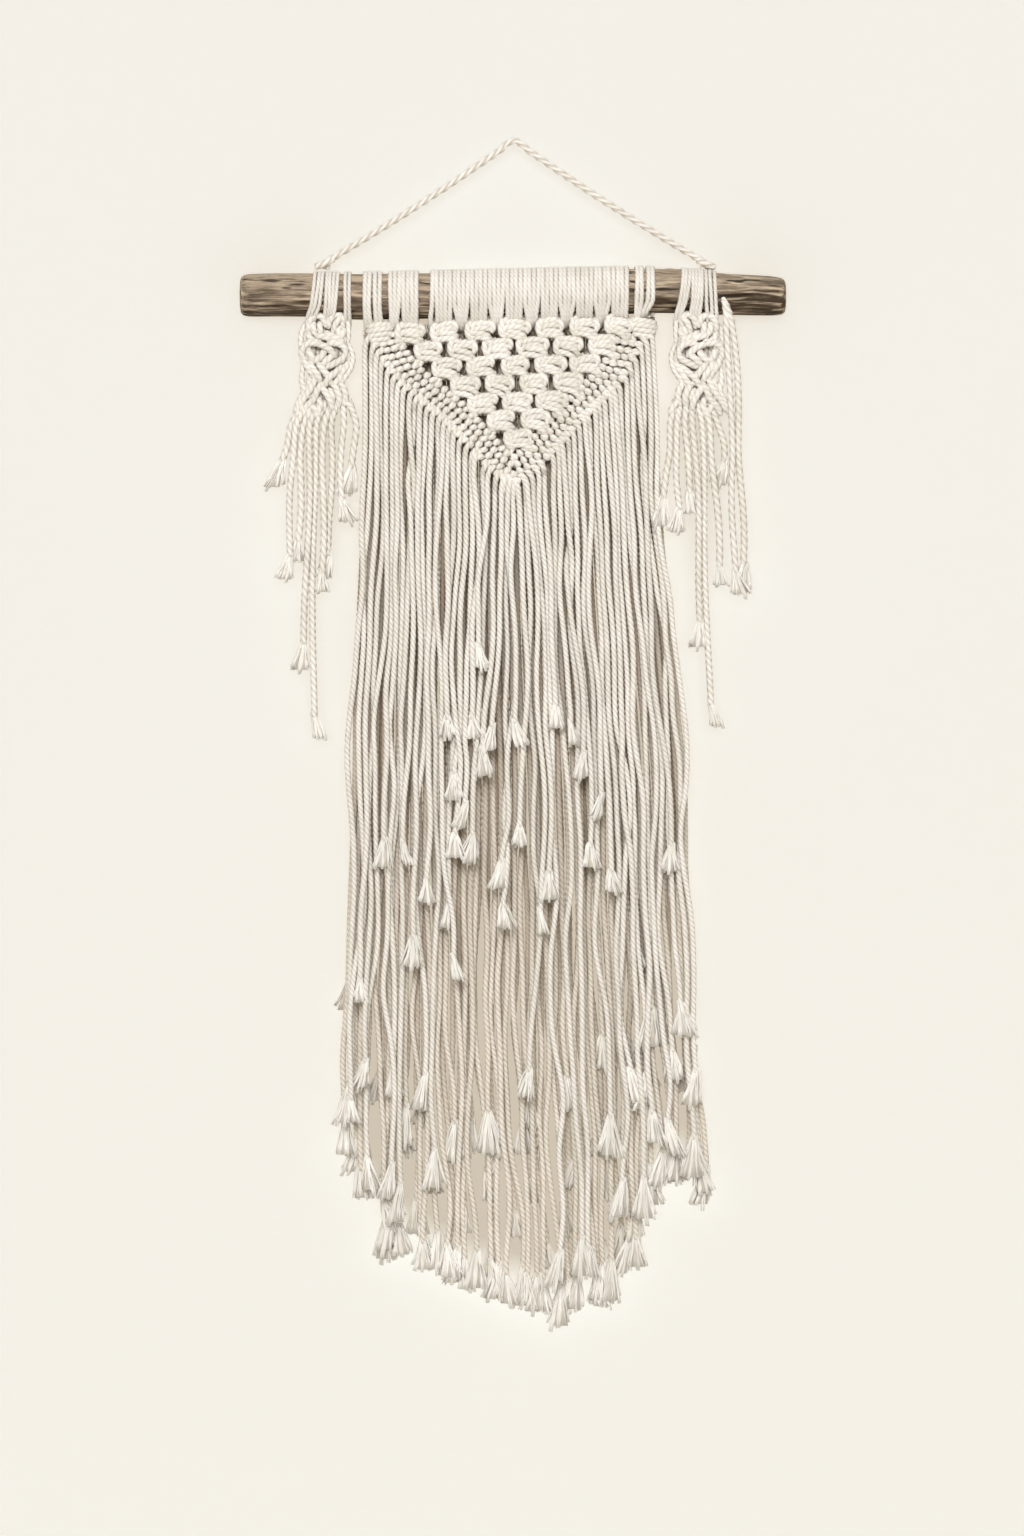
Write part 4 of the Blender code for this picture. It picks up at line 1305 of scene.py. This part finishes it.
def strand_route(side, middle, index, strand):
    """A loose strand's points from the braid, or from the wraps beside it, to its tuft."""
    root, end_x, end, below = strand
    plane = -6.4 - 3.6 * (index % 2)
    outer = BRAID_OUTER[side].get(index)
    if outer:
        points = [(middle + x, -13.5 + 0.14 * min(-116.0 - z, 40.0), z) for x, z in outer]
    else:
        points = [(middle + root, BRAID_Y - 0.5, BRAID_END)]
        points.append((middle + (root + below) / 2, BRAID_Y - 2.2, BRAID_END - 9.0))
    points.append((middle + below, plane, SPREAD_END))
    count = max(int((SPREAD_END - end) / 24), 2)
    for step in range(1, count + 1):
        share = step / count
        sway = 1.5 * math.sin(5 * share + index * 2.1) * min(4 * share, 1.0)
        place = below + (end_x - below) * share**0.8 + sway
        points.append((middle + place, plane, SPREAD_END + (end + 17 - SPREAD_END) * share))
    return points


class MACRAME_OT_braids(bpy.types.Operator):
    """Knotted braids at both sides, which open into a few strands"""

    bl_idname = "macrame.braids"
    bl_label = "Side braids"

    def execute(self, context):
        cord = context.scene.macrame_cord
        for side, (middle, strands) in BRAIDS.items():
            mirror = 1.0 if side == "left" else -1.0
            # The plait and the loose strands get painted shade on their far flanks.
            work, loose, frayed = CordWork(braid_painted_shade, 0.6), CordWork(0.0, 0.62), CordWork()
            for x in BRAID_CORES:
                points = []
                for z in np.arange(-128.0, -200.0, -8.0):
                    narrow = float(read(BRAID_WIDTH, z, 1)) / 18.0
                    points.append((middle + x * narrow, BRAID_Y + 1.6, z))
                work.cord(points, 3.0, 2.6, tone=-0.3)
            for number, rod in enumerate(BRAID_RODS):
                points = []
                for x, z, out in np.reshape(rod[1:], (-1, 3)):
                    across = x * mirror + 0.4 * uneven(number + 3 * mirror, 0.2)
                    points.append((middle + across, BRAID_Y - out, z))
                looks = {"tone": 0.6 * uneven(number + mirror, 0.35), "ends": "pinched"}
                work.cord(points, 1.6, rod[0] * ROD_SHARE, lay=13.5, hollow=0.89, **looks)
            radius, lay = cord.rope / MM / 2, 1.4 * cord.lay / MM
            for index, strand in enumerate(strands):
                points = strand_route(side, middle, index, strand)
                hang(loose, frayed, points, radius, index + 120, lay, long=22.0)
            add_piece(side + "_plait", work, "net_cotton", side + "_braid")
            add_piece(side + "_strands", loose, "strand_cotton", side + "_fringe")
            add_piece(side + "_tufts", frayed, "frayed_cotton", side + "_fringe")
        return {"FINISHED"}


# --- Hanger -----------------------------------------------------------------------------


def hanger_line():
    """The taut cord's centre line from the left knot over the hook to the right knot."""
    line = []
    for end_x, end_z in (HANGER_LEFT, HANGER_RIGHT):
        side = []
        for step in range(HANGER_STEPS):
            share = step / HANGER_STEPS
            sag = HANGER_SAG * math.sin(math.pi * share)
            height = end_z * (1 - share) - sag + HANGER_RADIUS * share
            side.append((end_x * (1 - share), 0.0, height))
        line.append(side)
    return line[0] + [(0.0, 0.0, HANGER_RADIUS)] + line[1][::-1]


class MACRAME_OT_hanger(bpy.types.Operator):
    """The cord that the branch hangs from, and the knots at its ends"""

    bl_idname = "macrame.hanger"
    bl_label = "Hanger cord"

    def execute(self, context):
        work = CordWork()
        path = work.cord(hanger_line(), 1.6, HANGER_RADIUS * 1.05, lay=26.0, hollow=0.68)
        length = float(run_along(path)[-1])
        slot = "hanger_cord"
        rope = add_piece("hanger_rope", work, "hanger_cotton", "hanger_cord", slot=slot)
        ends = (("left", HANGER_LEFT, -1), ("right", HANGER_RIGHT, 1))
        for side, (x, z), out in ends:
            work = CordWork()
            for radius, turns in HANGER_KNOT:
                points = [(x + out * across, y, z + up) for across, y, up in turns]
                work.cord(points, 1.3, radius, lay=20.0)
            knot = "hanger_knot_" + side
            add_piece(knot + "_cord", work, "hanger_cotton", knot, slot=slot)
        return {"FINISHED"}


# --- Branch -----------------------------------------------------------------------------


class MACRAME_OT_branch(bpy.types.Operator):
    """The weathered branch, with its bumps, cracks and rounded ends"""

    bl_idname = "macrame.branch"
    bl_label = "Branch"

    def execute(self, context):
        settings = context.scene.macrame_branch
        clear_selection()
        x, z, radius = BRANCH[0]
        place = (x * MM, 0.0, z * MM)
        turn = (0.0, math.radians(90), 0.0)
        bpy.ops.mesh.primitive_circle_add(
            vertices=32, radius=radius * MM, fill_type="NOTHING", location=place, rotation=turn
        )
        branch = context.active_object
        branch.name = branch.data.name = "weathered_branch"
        bpy.ops.object.transform_apply(location=True, rotation=True, scale=True)
        bpy.ops.object.mode_set(mode="EDIT")
        bpy.ops.mesh.select_all(action="SELECT")
        extend_stations(BRANCH[1:], place, radius)
        bpy.ops.mesh.select_all(action="DESELECT")
        bpy.ops.mesh.select_non_manifold()
        bpy.ops.mesh.edge_face_add()
        bpy.ops.object.mode_set(mode="OBJECT")
        round_ends(branch)
        divide = branch.modifiers.new("divide", "SUBSURF")
        divide.levels = divide.render_levels = 2
        bpy.ops.object.modifier_apply(modifier="divide")
        weather(branch.data, settings.relief)
        branch.data.materials.append(branch_wood("weathered_wood", settings.light, settings.dark))
        branch.data.shade_smooth()
        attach(branch, "root")
        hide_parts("branch")
        return {"FINISHED"}


def extend_stations(stations, place, size):
    """Extrudes the open end of the branch from station to station, at each one's radius."""
    at = Vector(place)
    long = []
    before = (at.x / MM, at.z / MM, size)
    for x, z, radius in stations:
        count = max(int((x - before[0]) / 8), 1)
        for step in range(1, count + 1):
            share = step / count
            long.append([a + (b - a) * share for a, b in zip(before, (x, z, radius))])
        before = (x, z, radius)
    for x, z, radius in long:
        target = Vector((x * MM, 0.0, z * MM))
        move = {"value": target - at}
        bpy.ops.mesh.extrude_edges_move(TRANSFORM_OT_translate=move)
        grow = radius / size
        for vert in edit_selection():
            vert.co.y = target.y + (vert.co.y - target.y) * grow
            vert.co.z = target.z + (vert.co.z - target.z) * grow
        at, size = target, radius


def edit_selection():
    """The selected points of the mesh in edit mode."""
    mesh = bpy.context.active_object.data
    shape = bmesh.from_edit_mesh(mesh)
    chosen = [vert for vert in shape.verts if vert.select]
    yield from chosen
    bmesh.update_edit_mesh(mesh)


def round_ends(branch):
    """Insets and pushes out the two end faces, so that the subdivision rounds them."""
    for side in (-1, 1):
        bpy.ops.object.mode_set(mode="OBJECT")
        for polygon in branch.data.polygons:
            polygon.select = polygon.normal.x * side > 0.9 and len(polygon.vertices) > 4
        bpy.ops.object.mode_set(mode="EDIT")
        bpy.ops.mesh.select_mode(type="FACE")
        bpy.ops.mesh.inset(thickness=2.5 * MM, depth=0.6 * MM)
        bpy.ops.mesh.inset(thickness=5.0 * MM, depth=0.3 * MM)
        bpy.ops.mesh.poke()
    bpy.ops.mesh.select_all(action="SELECT")
    bpy.ops.mesh.normals_make_consistent(inside=False)
    bpy.ops.object.mode_set(mode="OBJECT")


WOOD_KNOT = (-67.5, -0.05)  # the wood's round knot: its x, and its turn from the front


def weather(mesh, relief):
    """Moves the skin in and out: broad lumps, grain ridges, a few cracks and a knot."""
    for vert in mesh.vertices:
        x, y, z = vert.co
        centre, _ = branch_at(x / MM)
        out = Vector((0.0, y, z - centre * MM))
        if out.length < 1e-5:
            continue
        way = out.normalized()
        angle = math.atan2(way.z, -way.y)
        broad = noise.noise(Vector((x * 30, way.y * 1.6, way.z * 1.6)))
        grain = noise.noise(Vector((x * 22, math.cos(angle) * 6, math.sin(angle) * 6)))
        ridge = abs(noise.noise(Vector((x * 9, math.cos(angle) * 11, math.sin(angle) * 11 + 4))))
        across, turn = x / MM - WOOD_KNOT[0], angle - WOOD_KNOT[1]
        knot = math.hypot(across / 4.2, turn * 17 / 6.5)
        swirl = 0.9 * math.exp(-knot * knot) + 0.25 * math.sin(knot * 5) * math.exp(-knot)
        crack = -0.9 * max(0.0, 0.09 - ridge) / 0.09
        lift = relief * (0.75 * broad + 0.35 * grain + crack + swirl)
        vert.co += way * lift


# --- Stage ------------------------------------------------------------------------------


def plain_material(name, colour):
    """A matt surface with a trace of unevenness."""
    material, graph, shader = new_material(name)
    value = graph.span(graph.noise(graph.place(), 3.0, 2.0), 0.3, 0.7, 0.995, 1.005)
    tint = graph.mix(1.0, (*colour, 1.0), graph.grey(value, value, value), "MULTIPLY")
    graph.put(shader, {"Base Color": tint, "Roughness": 0.95, "Specular IOR Level": 0.1})
    return material


def wall_material(name, colour, glow):
    """A matt wall with a painted shadow behind the hanging and a painted glow of its own, clear
    from behind.
    """
    material = plain_material(name, colour)
    graph, nodes = Graph(material.node_tree), material.node_tree.nodes
    shader = nodes["Principled BSDF"]
    tint = shader.inputs["Base Color"].links[0].from_socket
    # Painted shadow: the wall's lit colour fades where the shade mark says.
    painted_shadow = graph.sum("MULTIPLY", graph.mark("shade"), 0.82)
    looks = {
        "Base Color": graph.mix(painted_shadow, tint, (0.0, 0.0, 0.0, 1.0)),
        # The glow is painted light: the wall gives off light of its own, the tan seen in its
        # painted shadow.
        "Emission Color": (*glow, 1.0),
        "Emission Strength": 1.0,
    }
    graph.put(shader, looks)
    clear = graph.add("BsdfTransparent").outputs[0]
    back = graph.add("NewGeometry").outputs["Backfacing"]
    mix = graph.put(graph.add("MixShader"), {0: back, 1: shader.outputs[0], 2: clear})
    graph.put(nodes["Material Output"], {"Surface": mix.outputs[0]})
    return material


def light_only(light, obj, alone):
    """Lets a light reach one object alone, or everything but that object."""
    links = bpy.data.collections.new(light.name + "_links")
    links.objects.link(obj)
    state = "INCLUDE" if alone else "EXCLUDE"
    links.collection_objects[0].light_linking.link_state = state
    light.light_linking.receiver_collection = links


def painted_wall_shadow(x, z):
    """Painted shadow on the wall: the share of its light taken away behind the hanging at a place.
    """
    left, right = fall_x(0.0, z), fall_x(1.0, z)
    across = ramp(np.minimum(x - left, right - x), 1.0, 9.0)
    low = read(HEM, (x - left) / (right - left), 1)
    down = ramp(z, low + 14.0, low + 38.0)
    shade = across * down * ramp(z, -118.0, -126.0)
    for middle, _ in BRAIDS.values():
        near = np.exp(-(((x - middle * 1.03) / 17.0) ** 2))
        shade = shade + 0.55 * near * ramp(z, -330.0, -240.0) * (z < -196.0)
    return np.clip(shade, 0.0, 1.0)


def add_surface(name, spots, faces, material):
    """A flat piece of the stage."""
    mesh = bpy.data.meshes.new(name)
    mesh.from_pydata(spots, [], faces)
    mesh.materials.append(material)
    obj = add_object(name, mesh)
    return obj


def add_wall(y, floor, material):
    """The wall, with a finer grid behind the hanging for its soft painted shadow."""
    xs = np.concatenate(((-3000.0,), np.arange(-186.0, 187.0, 6.0), (3000.0,)))
    zs = np.concatenate(((floor / MM,), np.arange(-906.0, -99.0, 6.0), (2200.0,)))
    x, z = np.meshgrid(xs, zs)
    spots = [(a * MM, y, b * MM) for a, b in zip(x.ravel(), z.ravel())]
    number = np.arange(x.size).reshape(x.shape)
    cells = (number[:-1, :-1], number[:-1, 1:], number[1:, 1:], number[1:, :-1])
    wall = add_surface("wall", spots, np.stack(cells, axis=-1).reshape(-1, 4).tolist(), material)
    attribute = wall.data.attributes.new("shade", "FLOAT", "POINT")
    attribute.data.foreach_set("value", painted_wall_shadow(x, z).ravel())
    return wall


def add_light(name, strength, width, aim, colour, kind="SUN"):
    """A soft light that shines along aim. Its width is an angle, or a size for a lamp."""
    light = bpy.data.lights.new(name, kind)
    light.energy, light.color = strength, colour
    if kind == "SUN":
        light.angle = math.radians(width)
    else:
        light.size = width
    obj = add_object(name, light)
    obj.rotation_euler = Vector(aim).to_track_quat("-Z", "Y").to_euler()
    return obj


WALL_Y, FLOOR_Z = 0.0235, -1.10  # metres
CAMERA_X, CAMERA_Z = -0.0015, -0.468


class MACRAME_OT_stage(bpy.types.Operator):
    """Wall, floor, soft lights and camera"""

    bl_idname = "macrame.stage"
    bl_label = "Stage"

    def execute(self, context):
        scene = context.scene
        settings = scene.macrame_stage
        scene.view_settings.view_transform = "Standard"
        paint = wall_material("wall_paint", settings.wall, settings.shade)
        wall = add_wall(WALL_Y, FLOOR_Z, paint)
        wall.visible_shadow = False
        corners = [(x, y, FLOOR_Z) for x, y in ((-4, -5), (4, -5), (4, 5), (-4, 5))]
        paint = plain_material("floor_paint", settings.floor)
        add_surface("floor", corners, [(0, 1, 2, 3)], paint)
        key = add_light("key_light", 1.45, 20.0, (0.07, 0.94, -0.34), (1.0, 0.995, 0.985))
        fill = add_light("fill_light", 0.45, 60.0, (-0.25, 1.0, 0.05), (1.0, 0.97, 0.92))
        aim, tint = (0.15, 1.35, -0.7), (1.0, 0.99, 0.97)
        top = add_light("top_light", 7.0, 0.8, aim, tint, "AREA")
        top.location = (-0.15, -1.35, 0.45)
        for light in (key, fill, top):
            light_only(light, wall, False)
        wash = add_light("wall_light", 0.64, 30.0, (0.0, 1.0, 0.0), (1.0, 1.0, 1.0))
        light_only(wash, wall, True)
        add_light("back_light", 1.6, 60.0, (0.0, -1.0, 0.0), (1.0, 0.98, 0.95))
        scene.world = bpy.data.worlds.new("studio")
        scene.world.use_nodes = True
        sky = scene.world.node_tree.nodes["Background"].inputs
        sky[0].default_value, sky[1].default_value = (1.0, 0.90, 0.77, 1.0), 0.24
        lens = bpy.data.cameras.new("camera")
        lens.lens = settings.lens
        lens.sensor_width = lens.sensor_height = 36.0
        scene.camera = add_object("camera", lens)
        scene.camera.location = (CAMERA_X, -settings.distance, CAMERA_Z)
        scene.camera.rotation_euler = (math.radians(90), 0.0, 0.0)
        return {"FINISHED"}


# --- Panel and registration -------------------------------------------------------------

OPERATORS = (
    MACRAME_OT_stage,
    MACRAME_OT_hanger,
    MACRAME_OT_branch,
    MACRAME_OT_wraps,
    MACRAME_OT_net,
    MACRAME_OT_border,
    MACRAME_OT_front_fringe,
    MACRAME_OT_back_fringe,
    MACRAME_OT_braids,
)
SETTINGS = {
    "macrame_cord": CordSettings,
    "macrame_branch": BranchSettings,
    "macrame_stage": StageSettings,
}


class MACRAME_PT_sidebar(bpy.types.Panel):
    """Lists the pieces and their settings"""

    bl_idname = "MACRAME_PT_sidebar"
    bl_label = "Macrame wall hanging"
    bl_space_type = "VIEW_3D"
    bl_region_type = "UI"
    bl_category = "Macrame"

    def draw(self, context):
        for name, group in SETTINGS.items():
            box = self.layout.box()
            for key in group.__annotations__:
                box.prop(getattr(context.scene, name), key)
        column = self.layout.column()
        for operator in OPERATORS:
            column.operator(operator.bl_idname)


CLASSES = (*SETTINGS.values(), *OPERATORS, MACRAME_PT_sidebar)


def register():
    for item in CLASSES:
        bpy.utils.register_class(item)
    for name, group in SETTINGS.items():
        setattr(bpy.types.Scene, name, PointerProperty(type=group))


def unregister():
    for name in SETTINGS:
        delattr(bpy.types.Scene, name)
    for item in reversed(CLASSES):
        bpy.utils.unregister_class(item)


def main():
    register()
    for operator in OPERATORS:
        family, name = operator.bl_idname.split(".")
        getattr(getattr(bpy.ops, family), name)()


if __name__ == "__main__":
    main()
